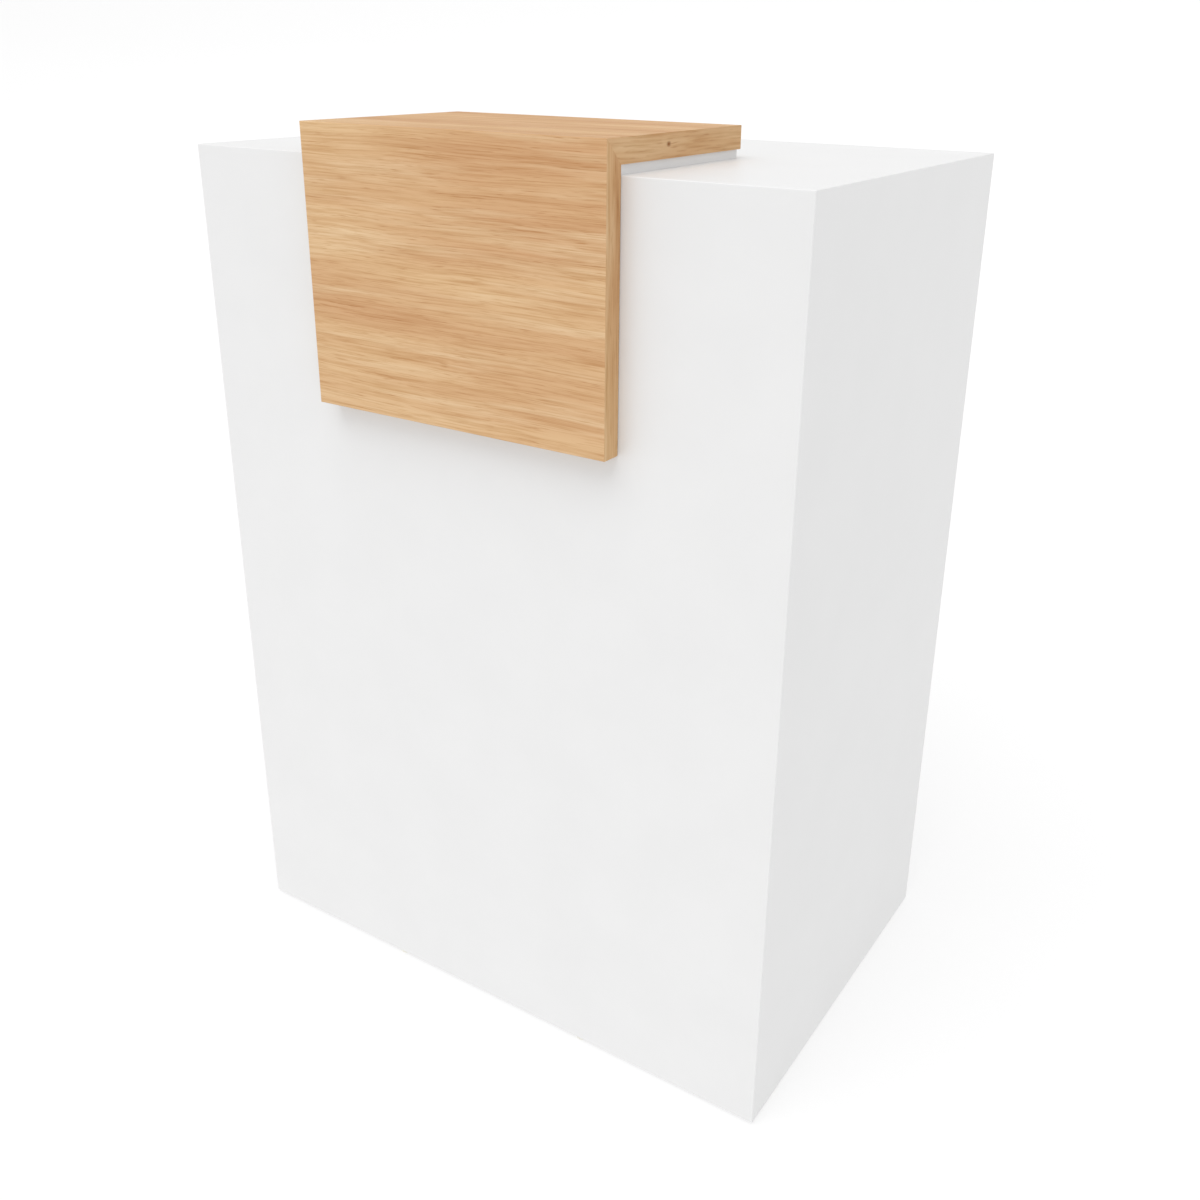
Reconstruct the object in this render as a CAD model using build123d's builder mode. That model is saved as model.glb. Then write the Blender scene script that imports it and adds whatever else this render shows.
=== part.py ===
from build123d import *
from math import cos, radians, sin
import os

os.makedirs("parts", exist_ok=True)

# Book drop box: a white board cabinet with an oak waterfall cap on its plain front (-Y).
# The working face is the rear (+Y): a return slot above, a roll-out book bin below.
# The origin is the middle of the overall footprint, on the floor. +X is to the right
# of someone who looks at the plain front, +Z is up. All sizes are millimetres.

# ---- driving sizes: cabinet
body_width = 800
body_depth = 510
body_height = 1080
board = 18
glide_height = 5
arris = 1.2
reveal = 1
# ---- driving sizes: oak cap
cap_width = 398
cap_board = 25
cap_gap = 10
apron_gap = 1
shelf_depth = 243
apron_drop = 314
cap_arris = 0.8
# ---- driving sizes: return slot
slot_width = 340
slot_height = 90
slot_drop = 200
slot_corner = 6
sheet = 1.5
bezel_border = 30
bezel_plate = 2
flap_plate = 2
flap_side_lap = 19
flap_lean = 10
rod_radius = 4
chute_angle = 40
chute_run = 210
cheek_height = 90
# ---- driving sizes: book bin
bay_drop = 240
fascia_board = 16
fascia_gap = 3
fascia_floor_gap = 12
rail_height = 60
guide_rail = 18
bin_side_gap = 6
bin_back_gap = 6
bin_wall = 12
bin_base_board = 18
rim_drop = 24
platform_board_thickness = 12
platform_drop = 210
platform_gap = 3
felt = 3
post_radius = 6
post_inset = 38
spring_wire = 3.6
spring_radius = 15
spring_turns = 10
# ---- driving sizes: castors, handle and lock
wheel_radius = 25
wheel_headroom = 20
wheel_width = 20
axle_radius = 3
castor_inset = 50
castor_trail = 22
castor_plate_size = 60
handle_projection = 35
handle_spacing = 160
handle_bar = 12
handle_drop = 60
lock_drop = 16
barrel_radius = 9.5
plug_radius = 7
cam_length = 36
# ---- clearances and fixings
running_fit = 0.05
seat_fit = 0.1
screw_radius = 2
head_radius = 4
head_height = 2

# ---- places worked out from the driving sizes
half_width = body_width / 2
inner_half = half_width - board
cap_projection = apron_gap + cap_board
front_y = cap_projection - (body_depth + cap_projection + handle_projection) / 2
rear_y = front_y + body_depth
middle_y = (front_y + rear_y) / 2
front_inner_y = front_y + board
rear_inner_y = rear_y - board
top_inner_z = body_height - board
slot_z = body_height - slot_drop
bay_top_z = slot_z - bay_drop
castor_height = 2 * wheel_radius + wheel_headroom
rear_plane = Plane.XZ.offset(-rear_y)
rear_inner_plane = Plane.XZ.offset(-rear_inner_y)

# ================================================================ cabinet boards
# Melamine-faced boards, mitred where they meet, so that no edge shows on the plain faces.
# The outside block carries the eased arrises that all the boards share.
with BuildPart() as outside:
    with BuildSketch(Plane.XY.offset(glide_height)):
        with Locations((0, middle_y)):
            Rectangle(body_width, body_depth)
    extrude(amount=body_height - glide_height)
    upper_edges = outside.edges().filter_by(lambda edge: edge.center().Z > glide_height + 1)
    fillet(upper_edges, radius=arris)

# Pins of the glides go up into the boards, and screws of the cap go out through them.
glide_radius = 8
glide_pin_radius = 2
glide_pin_length = 12
side_glide_x = half_width - board / 2
side_glide_points = [(side_glide_x, front_y + 60), (side_glide_x, rear_y - 60)]
front_glide_points = [(150, front_y + board / 2), (-150, front_y + board / 2)]
cap_screw_radius = 2.5
cap_screw_bite = 16
cap_screw_x = cap_width / 2 - 50
cap_front_y = front_y - cap_projection
shelf_rear_y = front_y + shelf_depth
shelf_screw_points = [
    (x, y) for x in (-cap_screw_x, cap_screw_x) for y in (front_y + 60, shelf_rear_y - 50)
]
cap_under_z = body_height + cap_gap
cap_top_z = cap_under_z + cap_board
apron_bottom_z = cap_top_z - apron_drop
apron_screw_points = [
    (x, z) for x in (-cap_screw_x, cap_screw_x) for z in (apron_bottom_z + 60, body_height - 70)
]

with BuildPart() as front_panel:
    with BuildSketch(Plane.XY.offset(glide_height)):
        with BuildLine():
            Polyline(
                (-half_width, front_y),
                (half_width, front_y),
                (inner_half, front_inner_y),
                (-inner_half, front_inner_y),
                close=True,
            )
        make_face()
    extrude(amount=body_height - glide_height)
    with BuildSketch(Plane.YZ):
        with BuildLine():
            Polyline(
                (front_y, body_height),
                (front_inner_y, body_height),
                (front_inner_y, top_inner_z),
                close=True,
            )
        make_face()
    extrude(amount=half_width, both=True, mode=Mode.SUBTRACT)
    add(outside.part, mode=Mode.INTERSECT)
    with BuildSketch(Plane.XZ.offset(-front_inner_y)):
        with Locations(*apron_screw_points):
            Circle(cap_screw_radius + seat_fit)
    extrude(amount=board, mode=Mode.SUBTRACT)
    with BuildSketch(Plane.XY.offset(glide_height)):
        with Locations(*front_glide_points):
            Circle(glide_pin_radius + seat_fit)
    extrude(amount=glide_pin_length + seat_fit, mode=Mode.SUBTRACT)
front_panel.part.label = "front_panel"
export_step(front_panel.part, "parts/front_panel.step")

for side_name, side in (("left", -1), ("right", 1)):
    with BuildPart() as side_panel:
        with BuildSketch(Plane.XY.offset(glide_height)):
            with BuildLine():
                Polyline(
                    (side * half_width, front_y),
                    (side * half_width, rear_y),
                    (side * inner_half, rear_y),
                    (side * inner_half, front_inner_y),
                    close=True,
                )
            make_face()
        extrude(amount=body_height - glide_height)
        with BuildSketch(Plane.XZ.offset(-middle_y)):
            with BuildLine():
                Polyline(
                    (side * half_width, body_height),
                    (side * inner_half, body_height),
                    (side * inner_half, top_inner_z),
                    close=True,
                )
            make_face()
        extrude(amount=body_depth, both=True, mode=Mode.SUBTRACT)
        add(outside.part, mode=Mode.INTERSECT)
        with BuildSketch(Plane.XY.offset(glide_height)):
            with Locations(*[(side * x, y) for x, y in side_glide_points]):
                Circle(glide_pin_radius + seat_fit)
        extrude(amount=glide_pin_length + seat_fit, mode=Mode.SUBTRACT)
    side_panel.part.label = f"{side_name}_side_panel"
    export_step(side_panel.part, f"parts/{side_name}_side_panel.step")

with BuildPart() as top_panel:
    with BuildSketch(Plane.XZ.offset(-middle_y)):
        with BuildLine():
            Polyline(
                (-half_width, body_height),
                (half_width, body_height),
                (inner_half, top_inner_z),
                (-inner_half, top_inner_z),
                close=True,
            )
        make_face()
    extrude(amount=body_depth / 2, both=True)
    with BuildSketch(Plane.YZ):
        with BuildLine():
            Polyline(
                (front_y, body_height),
                (front_y, top_inner_z),
                (front_inner_y, top_inner_z),
                close=True,
            )
        make_face()
    extrude(amount=half_width, both=True, mode=Mode.SUBTRACT)
    add(outside.part, mode=Mode.INTERSECT)
    with BuildSketch(Plane.XY.offset(top_inner_z)):
        with Locations(*shelf_screw_points):
            Circle(cap_screw_radius + seat_fit)
    extrude(amount=board, mode=Mode.SUBTRACT)
top_panel.part.label = "top_panel"
export_step(top_panel.part, "parts/top_panel.step")

# Nailed nylon glides hold the boards off the floor.
with BuildPart() as floor_glides:
    with BuildSketch(Plane.XY):
        with Locations(*side_glide_points, *[(-x, y) for x, y in side_glide_points], *front_glide_points):
            Circle(glide_radius)
    extrude(amount=glide_height)
    chamfer(floor_glides.edges().group_by(Axis.Z)[0], length=1)
    with BuildSketch(Plane.XY.offset(glide_height)):
        with Locations(*side_glide_points, *[(-x, y) for x, y in side_glide_points], *front_glide_points):
            Circle(glide_pin_radius)
    extrude(amount=glide_pin_length)
floor_glides.part.label = "floor_glides"
export_step(floor_glides.part, "parts/floor_glides.step")

# ================================================================ oak cap
# Two oak-faced boards in an L, mitred along their long corner. The cap block carries their
# eased arrises. A white packer board lifts the shelf off the top, set in from its edges, and
# thin rings keep the apron off the front.
apron_back_y = cap_front_y + cap_board
with BuildPart() as cap_block:
    with BuildSketch(Plane.YZ):
        with BuildLine():
            Polyline(
                (cap_front_y, cap_top_z),
                (shelf_rear_y, cap_top_z),
                (shelf_rear_y, cap_under_z),
                (apron_back_y, cap_under_z),
                (apron_back_y, apron_bottom_z),
                (cap_front_y, apron_bottom_z),
                close=True,
            )
        make_face()
    extrude(amount=cap_width / 2, both=True)
    outer_edges = cap_block.edges().filter_by(
        lambda edge: abs(edge.center().Y - apron_back_y) > 0.1 or abs(edge.center().Z - cap_under_z) > 0.1
    )
    fillet(outer_edges.filter_by(Axis.X), radius=cap_arris)

with BuildPart() as shelf_board:
    with BuildSketch(Plane.YZ):
        with BuildLine():
            Polyline(
                (cap_front_y, cap_top_z),
                (shelf_rear_y, cap_top_z),
                (shelf_rear_y, cap_under_z),
                (apron_back_y, cap_under_z),
                close=True,
            )
        make_face()
    extrude(amount=cap_width / 2, both=True)
    add(cap_block.part, mode=Mode.INTERSECT)
    with BuildSketch(Plane.XY.offset(cap_under_z)):
        with Locations(*shelf_screw_points):
            Circle(cap_screw_radius + seat_fit)
    extrude(amount=cap_screw_bite + seat_fit, mode=Mode.SUBTRACT)
shelf_board.part.label = "shelf_board"
export_step(shelf_board.part, "parts/shelf_board.step")

with BuildPart() as apron_board:
    with BuildSketch(Plane.YZ):
        with BuildLine():
            Polyline(
                (cap_front_y, cap_top_z),
                (apron_back_y, cap_under_z),
                (apron_back_y, apron_bottom_z),
                (cap_front_y, apron_bottom_z),
                close=True,
            )
        make_face()
    extrude(amount=cap_width / 2, both=True)
    add(cap_block.part, mode=Mode.INTERSECT)
    with BuildSketch(Plane.XZ.offset(-apron_back_y)):
        with Locations(*apron_screw_points):
            Circle(cap_screw_radius + seat_fit)
    extrude(amount=cap_screw_bite + seat_fit, mode=Mode.SUBTRACT)
apron_board.part.label = "apron_board"
export_step(apron_board.part, "parts/apron_board.step")

packer_inset = 3
with BuildPart() as cap_packer:
    with BuildSketch(Plane.XY.offset(body_height)):
        with Locations((0, (front_y + shelf_rear_y - packer_inset) / 2)):
            Rectangle(cap_width - 2 * packer_inset, shelf_depth - packer_inset)
        with Locations(*shelf_screw_points):
            Circle(cap_screw_radius + seat_fit, mode=Mode.SUBTRACT)
    extrude(amount=cap_gap)
cap_packer.part.label = "cap_packer"
export_step(cap_packer.part, "parts/cap_packer.step")

spacer_radius = 10
with BuildPart() as cap_spacers:
    with BuildSketch(Plane.XZ.offset(-front_y)):
        with Locations(*apron_screw_points):
            Circle(spacer_radius)
            Circle(cap_screw_radius + seat_fit, mode=Mode.SUBTRACT)
    extrude(amount=apron_gap)
cap_spacers.part.label = "cap_spacers"
export_step(cap_spacers.part, "parts/cap_spacers.step")

# Screws go from inside the cabinet through board and packer or ring into the oak.
cap_head_radius = 5
cap_head_height = 3
with BuildPart() as cap_screws:
    with BuildSketch(Plane.XY.offset(top_inner_z - cap_head_height)):
        with Locations(*shelf_screw_points):
            Circle(cap_head_radius)
    extrude(amount=cap_head_height)
    with BuildSketch(Plane.XY.offset(top_inner_z)):
        with Locations(*shelf_screw_points):
            Circle(cap_screw_radius)
    extrude(amount=board + cap_gap + cap_screw_bite)
    with BuildSketch(Plane.XZ.offset(-front_inner_y - cap_head_height)):
        with Locations(*apron_screw_points):
            Circle(cap_head_radius)
    extrude(amount=cap_head_height)
    with BuildSketch(Plane.XZ.offset(-front_inner_y)):
        with Locations(*apron_screw_points):
            Circle(cap_screw_radius)
    extrude(amount=board + apron_gap + cap_screw_bite)
cap_screws.part.label = "cap_screws"
export_step(cap_screws.part, "parts/cap_screws.step")

# ================================================================ inner framing
# The rail under the slot panel ties the sides together and is what the lock hooks behind.
rail_top_z = bay_top_z + 20
rail_low_z = rail_top_z - rail_height
rail_back_y = rear_inner_y - board
lock_z = rail_low_z - lock_drop
strike_width = 50
strike_height = 35
strike_screw_points = [(x, rail_low_z + 25) for x in (-18, 18)]
frame_screw_bite = 12
with BuildPart() as rear_rail:
    with BuildSketch(rear_inner_plane):
        with Locations((0, (rail_top_z + rail_low_z) / 2)):
            Rectangle(2 * inner_half, rail_height)
    extrude(amount=board)
    with BuildSketch(Plane.XZ.offset(-rail_back_y)):
        with Locations(*strike_screw_points):
            Circle(screw_radius + seat_fit)
    extrude(amount=-frame_screw_bite - seat_fit, mode=Mode.SUBTRACT)
rear_rail.part.label = "rear_rail"
export_step(rear_rail.part, "parts/rear_rail.step")

with BuildPart() as strike_plate:
    with BuildSketch(Plane.XZ.offset(-rail_back_y)):
        with Locations((0, rail_low_z + strike_height / 2)):
            RectangleRounded(strike_width, strike_height, 4)
        with Locations(*strike_screw_points):
            Circle(screw_radius + seat_fit, mode=Mode.SUBTRACT)
    extrude(amount=sheet)
strike_plate.part.label = "strike_plate"
export_step(strike_plate.part, "parts/strike_plate.step")

# The kick rail stiffens the foot of the plain front and stops the bin. Two angle brackets
# on it take bolts into the floor.
kick_height = 80
kick_back_y = front_inner_y + board
anchor_spacing = 400
anchor_width = 40
anchor_leg = 42
anchor_rise = 60
anchor_plate = 3
anchor_hole_radius = 4.5
anchor_hole_y = kick_back_y + 24
anchor_screw_points = [
    (side * anchor_spacing / 2 + x, anchor_rise - 15) for side in (-1, 1) for x in (-10, 10)
]
with BuildPart() as base_rail:
    with BuildSketch(Plane.XY.offset(glide_height)):
        with Locations((0, front_inner_y + board / 2)):
            Rectangle(2 * inner_half, board)
    extrude(amount=kick_height)
    with BuildSketch(Plane.XZ.offset(-kick_back_y)):
        with Locations(*anchor_screw_points):
            Circle(screw_radius + seat_fit)
    extrude(amount=frame_screw_bite + seat_fit, mode=Mode.SUBTRACT)
base_rail.part.label = "base_rail"
export_step(base_rail.part, "parts/base_rail.step")

with BuildPart() as anchor_brackets:
    with BuildSketch(Plane.XY):
        with Locations((-anchor_spacing / 2, kick_back_y), (anchor_spacing / 2, kick_back_y)):
            Rectangle(anchor_width, anchor_leg, align=(Align.CENTER, Align.MIN))
        with Locations((-anchor_spacing / 2, anchor_hole_y), (anchor_spacing / 2, anchor_hole_y)):
            Circle(anchor_hole_radius, mode=Mode.SUBTRACT)
    extrude(amount=anchor_plate)
    with BuildSketch(Plane.XZ.offset(-kick_back_y - anchor_plate)):
        with Locations((-anchor_spacing / 2, 0), (anchor_spacing / 2, 0)):
            Rectangle(anchor_width, anchor_rise, align=(Align.CENTER, Align.MIN))
        with Locations(*anchor_screw_points):
            Circle(screw_radius + seat_fit, mode=Mode.SUBTRACT)
    extrude(amount=anchor_plate)
anchor_brackets.part.label = "anchor_brackets"
export_step(anchor_brackets.part, "parts/anchor_brackets.step")

with BuildPart() as frame_screws:
    with BuildSketch(Plane.XZ.offset(-rail_back_y + sheet)):
        with Locations(*strike_screw_points):
            Circle(head_radius - 0.5)
    extrude(amount=head_height)
    with BuildSketch(Plane.XZ.offset(-rail_back_y + sheet)):
        with Locations(*strike_screw_points):
            Circle(screw_radius)
    extrude(amount=-sheet - frame_screw_bite)
    with BuildSketch(Plane.XZ.offset(-kick_back_y - anchor_plate)):
        with Locations(*anchor_screw_points):
            Circle(head_radius)
    extrude(amount=-head_height)
    with BuildSketch(Plane.XZ.offset(-kick_back_y - anchor_plate)):
        with Locations(*anchor_screw_points):
            Circle(screw_radius)
    extrude(amount=anchor_plate + frame_screw_bite)
frame_screws.part.label = "frame_screws"
export_step(frame_screws.part, "parts/frame_screws.step")

# Two low rails on the side boards steer the bin as it rolls home.
guide_low_z = 90
guide_height = 60
bin_half = inner_half - guide_rail - bin_side_gap
guide_end_y = rear_y - fascia_board - 10
with BuildPart() as guide_rails:
    with BuildSketch(Plane.XY.offset(guide_low_z)):
        with BuildLine():
            Polyline(
                (inner_half, kick_back_y),
                (inner_half, guide_end_y),
                (inner_half - guide_rail / 3, guide_end_y),
                (inner_half - guide_rail, guide_end_y - 30),
                (inner_half - guide_rail, kick_back_y),
                close=True,
            )
        make_face()
    extrude(amount=guide_height)
    mirror(about=Plane.YZ)
guide_rails.part.label = "guide_rails"
export_step(guide_rails.part, "parts/guide_rails.step")

# Square glue blocks stiffen the mitred corners and carry the slot panel.
cleat = 20
cleat_low_z = guide_low_z + guide_height + 10
with BuildPart() as corner_cleats:
    with BuildSketch(Plane.XY.offset(cleat_low_z)):
        with Locations((inner_half - cleat / 2, front_inner_y + cleat / 2)):
            Rectangle(cleat, cleat)
    extrude(amount=top_inner_z - cleat_low_z)
    with BuildSketch(Plane.XY.offset(rail_top_z)):
        with Locations((inner_half - cleat / 2, rear_inner_y - cleat / 2)):
            Rectangle(cleat, cleat)
    extrude(amount=top_inner_z - rail_top_z)
    with BuildSketch(Plane.XZ.offset(-rear_inner_y + cleat + reveal)):
        with Locations((inner_half - cleat / 2, top_inner_z - cleat / 2)):
            Rectangle(cleat, cleat)
    extrude(amount=body_depth - 2 * (board + cleat + reveal))
    mirror(about=Plane.YZ)
corner_cleats.part.label = "corner_cleats"
export_step(corner_cleats.part, "parts/corner_cleats.step")

# ================================================================ return slot
# A steel bezel lines the cut-out. A top-hung flap closes it from inside by its own weight,
# because it leans inwards where it rests on the slanted end of the bezel's throat.
throat_width = slot_width + 2 * sheet
throat_height = slot_height + 2 * sheet
throat_overhang = 35
slot_panel_top_z = top_inner_z - reveal
hinge_z = slot_z + slot_height / 2 + 12
hinge_y = rear_inner_y - 10
flap_half = slot_width / 2 + flap_side_lap
lug = 2.5
lug_x = flap_half + 2
bracket_flange = 17
bracket_half_height = 22
bracket_screw_x = lug_x + lug + 9
chute_top_z = slot_z - throat_height / 2 - 15
chute_flange = 40
cheek_clearance = 2
cheek_x = lug_x + bracket_flange + cheek_clearance
cheek_flange = 16
bezel_screw_x = throat_width / 2 + bezel_border / 2 - 1
bezel_screw_z = throat_height / 2 + bezel_border / 2 - 1
bezel_screw_points = [
    (x, slot_z + step) for x in (-bezel_screw_x, bezel_screw_x) for step in (-bezel_screw_z, bezel_screw_z)
]
bracket_screw_points = [
    (side * bracket_screw_x, hinge_z + step) for side in (-1, 1) for step in (-14, 14)
]
chute_screw_points = [(x, chute_top_z - chute_flange + 12) for x in (-150, 0, 150)]
cheek_screw_x = cheek_x + sheet + cheek_flange / 2
cheek_screw_points = [
    (x, chute_top_z + step) for x in (-cheek_screw_x, cheek_screw_x) for step in (-25, 75)
]
inner_screw_bite = 12

# The flap's own axes: x outwards from its face, y up along it, z along the rod.
lean_cos = cos(radians(flap_lean))
lean_sin = sin(radians(flap_lean))
flap_axes = Plane(origin=(0, hinge_y, hinge_z), x_dir=(0, lean_cos, -lean_sin), z_dir=(1, 0, 0))
flap_face = rod_radius + flap_plate
seal_gap = 0.4
seal_thickness = 3
seal_width = 4
seal_back = flap_face + seal_gap + seal_thickness

with BuildPart() as slot_panel:
    with BuildSketch(rear_plane):
        with Locations((0, (bay_top_z + slot_panel_top_z) / 2)):
            Rectangle(2 * (inner_half - reveal), slot_panel_top_z - bay_top_z)
        with Locations((0, slot_z)):
            RectangleRounded(
                throat_width + 2 * seat_fit,
                throat_height + 2 * seat_fit,
                slot_corner + sheet + seat_fit,
                mode=Mode.SUBTRACT,
            )
    extrude(amount=board)
    chamfer(slot_panel.faces().sort_by(Axis.Y)[-1].outer_wire().edges(), length=0.6)
    with BuildSketch(rear_plane):
        with Locations(*bezel_screw_points):
            Circle(screw_radius + seat_fit)
    extrude(amount=inner_screw_bite + seat_fit, mode=Mode.SUBTRACT)
    with BuildSketch(rear_inner_plane):
        with Locations(*bracket_screw_points, *chute_screw_points, *cheek_screw_points):
            Circle(screw_radius + seat_fit)
    extrude(amount=-inner_screw_bite - seat_fit, mode=Mode.SUBTRACT)
slot_panel.part.label = "slot_panel"
export_step(slot_panel.part, "parts/slot_panel.step")

with BuildPart() as slot_bezel:
    with BuildSketch(Plane.XZ.offset(-rear_y - bezel_plate)):
        with Locations((0, slot_z)):
            RectangleRounded(
                throat_width + 2 * bezel_border,
                throat_height + 2 * bezel_border,
                slot_corner + sheet,
            )
        with Locations(*bezel_screw_points):
            Circle(screw_radius + seat_fit, mode=Mode.SUBTRACT)
    extrude(amount=bezel_plate)
    chamfer(slot_bezel.faces().sort_by(Axis.Y)[-1].outer_wire().edges(), length=0.8)
    with BuildSketch(rear_plane):
        with Locations((0, slot_z)):
            RectangleRounded(throat_width, throat_height, slot_corner + sheet)
    extrude(amount=board + throat_overhang)
    with BuildSketch(Plane.XZ.offset(-rear_y - bezel_plate)):
        with Locations((0, slot_z)):
            RectangleRounded(slot_width, slot_height, slot_corner)
    extrude(amount=bezel_plate + board + throat_overhang, mode=Mode.SUBTRACT)
    with BuildSketch(flap_axes):
        with Locations((seal_back, 0)):
            Rectangle(4 * throat_overhang, 4 * throat_height, align=(Align.MAX, Align.CENTER))
    extrude(amount=half_width, both=True, mode=Mode.SUBTRACT)
slot_bezel.part.label = "slot_bezel"
export_step(slot_bezel.part, "parts/slot_bezel.step")

with BuildPart() as bezel_screws:
    with BuildSketch(Plane.XZ.offset(-rear_y - bezel_plate)):
        with Locations(*bezel_screw_points):
            Circle(head_radius)
    extrude(amount=-head_height)
    fillet(bezel_screws.edges().group_by(Axis.Y)[-1], radius=1.2)
    with BuildSketch(Plane.XZ.offset(-rear_y - bezel_plate)):
        with Locations(*bezel_screw_points):
            Circle(screw_radius)
    extrude(amount=bezel_plate + inner_screw_bite)
bezel_screws.part.label = "bezel_screws"
export_step(bezel_screws.part, "parts/bezel_screws.step")

# Pressed angle brackets carry the flap's rod in nylon bushes.
bush_radius = 6
bush_flange_radius = 8
bush_flange = 1
with BuildPart() as flap_brackets:
    with BuildSketch(Plane.YZ.offset(lug_x)):
        with Locations((hinge_y, hinge_z)):
            Circle(10)
        with Locations(((hinge_y + rear_inner_y) / 2, hinge_z)):
            Rectangle(rear_inner_y - hinge_y, 20)
        with Locations((rear_inner_y - lug / 2, hinge_z)):
            Rectangle(lug, 2 * bracket_half_height)
        with Locations((hinge_y, hinge_z)):
            Circle(bush_radius + seat_fit, mode=Mode.SUBTRACT)
    extrude(amount=lug)
    with BuildSketch(rear_inner_plane):
        with Locations((lug_x + bracket_flange / 2, hinge_z)):
            Rectangle(bracket_flange, 2 * bracket_half_height)
        with Locations(*bracket_screw_points):
            Circle(screw_radius + seat_fit, mode=Mode.SUBTRACT)
    extrude(amount=lug)
    mirror(about=Plane.YZ)
flap_brackets.part.label = "flap_brackets"
export_step(flap_brackets.part, "parts/flap_brackets.step")

with BuildPart() as flap_bushes:
    with BuildSketch(Plane.YZ.offset(lug_x - bush_flange)):
        with Locations((hinge_y, hinge_z)):
            Circle(bush_flange_radius)
    extrude(amount=bush_flange)
    with BuildSketch(Plane.YZ.offset(lug_x)):
        with Locations((hinge_y, hinge_z)):
            Circle(bush_radius)
    extrude(amount=lug + bush_flange)
    with BuildSketch(Plane.YZ.offset(lug_x - bush_flange)):
        with Locations((hinge_y, hinge_z)):
            Circle(rod_radius + running_fit)
    extrude(amount=lug + 2 * bush_flange, mode=Mode.SUBTRACT)
    mirror(about=Plane.YZ)
flap_bushes.part.label = "flap_bushes"
export_step(flap_bushes.part, "parts/flap_bushes.step")

# A rubber seal on the end of the throat takes the flap's blow.
seal_plane = Plane(
    origin=(0, hinge_y + seal_back * lean_cos, hinge_z - seal_back * lean_sin),
    x_dir=(1, 0, 0),
    z_dir=(0, lean_cos, -lean_sin),
)
seal_drop = (hinge_z - slot_z - seal_back * lean_sin) / lean_cos
with BuildPart() as throat_seal:
    with BuildSketch(seal_plane):
        with Locations((0, seal_drop)):
            RectangleRounded(
                slot_width + seal_width, (slot_height + seal_width) / lean_cos, slot_corner + seal_width / 2
            )
            RectangleRounded(slot_width, slot_height / lean_cos, slot_corner, mode=Mode.SUBTRACT)
    extrude(amount=-seal_thickness)
throat_seal.part.label = "throat_seal"
export_step(throat_seal.part, "parts/throat_seal.step")

# The flap is one bent sheet: a knuckle rolled round the rod and a plate below it.
flap_length = seal_drop + (throat_height / 2 + 8) / lean_cos
with BuildPart() as slot_flap:
    with BuildSketch(flap_axes):
        Circle(flap_face)
        with Locations((rod_radius, 0)):
            Rectangle(flap_plate, flap_length, align=(Align.MIN, Align.MAX))
        Circle(rod_radius + running_fit, mode=Mode.SUBTRACT)
    extrude(amount=flap_half, both=True)
slot_flap.part.label = "slot_flap"
export_step(slot_flap.part, "parts/slot_flap.step")

rod_half = lug_x + lug + bush_flange + 5
clip_x = lug_x + lug + bush_flange + 0.5
with BuildPart() as flap_rod:
    with BuildSketch(Plane.YZ):
        with Locations((hinge_y, hinge_z)):
            Circle(rod_radius)
    extrude(amount=rod_half, both=True)
    chamfer(flap_rod.edges(), length=0.5)
flap_rod.part.label = "flap_rod"
export_step(flap_rod.part, "parts/flap_rod.step")

with BuildPart() as rod_clips:
    with BuildSketch(Plane.YZ.offset(clip_x)):
        with Locations((hinge_y, hinge_z)):
            Circle(rod_radius + 3)
            Circle(rod_radius, mode=Mode.SUBTRACT)
        with Locations((hinge_y - rod_radius - 2, hinge_z)):
            Rectangle(6, 3, mode=Mode.SUBTRACT)
    extrude(amount=1)
    mirror(about=Plane.YZ)
rod_clips.part.label = "rod_clips"
export_step(rod_clips.part, "parts/rod_clips.step")

# A rubber channel on the flap's lower edge keeps it quiet.
edge_wall = 1
edge_height = 5
with BuildPart() as flap_edge:
    with BuildSketch(flap_axes):
        with Locations((rod_radius + flap_plate / 2, -flap_length - edge_wall)):
            Rectangle(flap_plate + 2 * edge_wall, edge_height, align=(Align.CENTER, Align.MIN))
        with Locations((rod_radius + flap_plate / 2, -flap_length)):
            Rectangle(flap_plate, edge_height, align=(Align.CENTER, Align.MIN), mode=Mode.SUBTRACT)
    extrude(amount=flap_half, both=True)
flap_edge.part.label = "flap_edge"
export_step(flap_edge.part, "parts/flap_edge.step")

# The chute is a bent sheet that leads books down into the middle of the bin.
slope_cos = cos(radians(chute_angle))
slope_sin = sin(radians(chute_angle))
chute_end_y = rear_inner_y - chute_run * slope_cos
chute_end_z = chute_top_z - chute_run * slope_sin
bend_run = sheet * (1 + slope_sin) / slope_cos
bend_z = chute_top_z - sheet * slope_cos - bend_run * slope_sin
chute_flange_z = chute_top_z - chute_flange
with BuildPart() as chute_plate:
    with BuildSketch(Plane.YZ):
        with BuildLine():
            Polyline(
                (rear_inner_y, chute_top_z),
                (chute_end_y, chute_end_z),
                (chute_end_y + sheet * slope_sin, chute_end_z - sheet * slope_cos),
                (rear_inner_y - sheet, bend_z),
                (rear_inner_y - sheet, chute_flange_z),
                (rear_inner_y, chute_flange_z),
                close=True,
            )
        make_face()
    extrude(amount=cheek_x, both=True)
    with BuildSketch(rear_inner_plane):
        with Locations(*chute_screw_points):
            Circle(screw_radius + seat_fit)
    extrude(amount=sheet, mode=Mode.SUBTRACT)
chute_plate.part.label = "chute_plate"
export_step(chute_plate.part, "parts/chute_plate.step")

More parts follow.
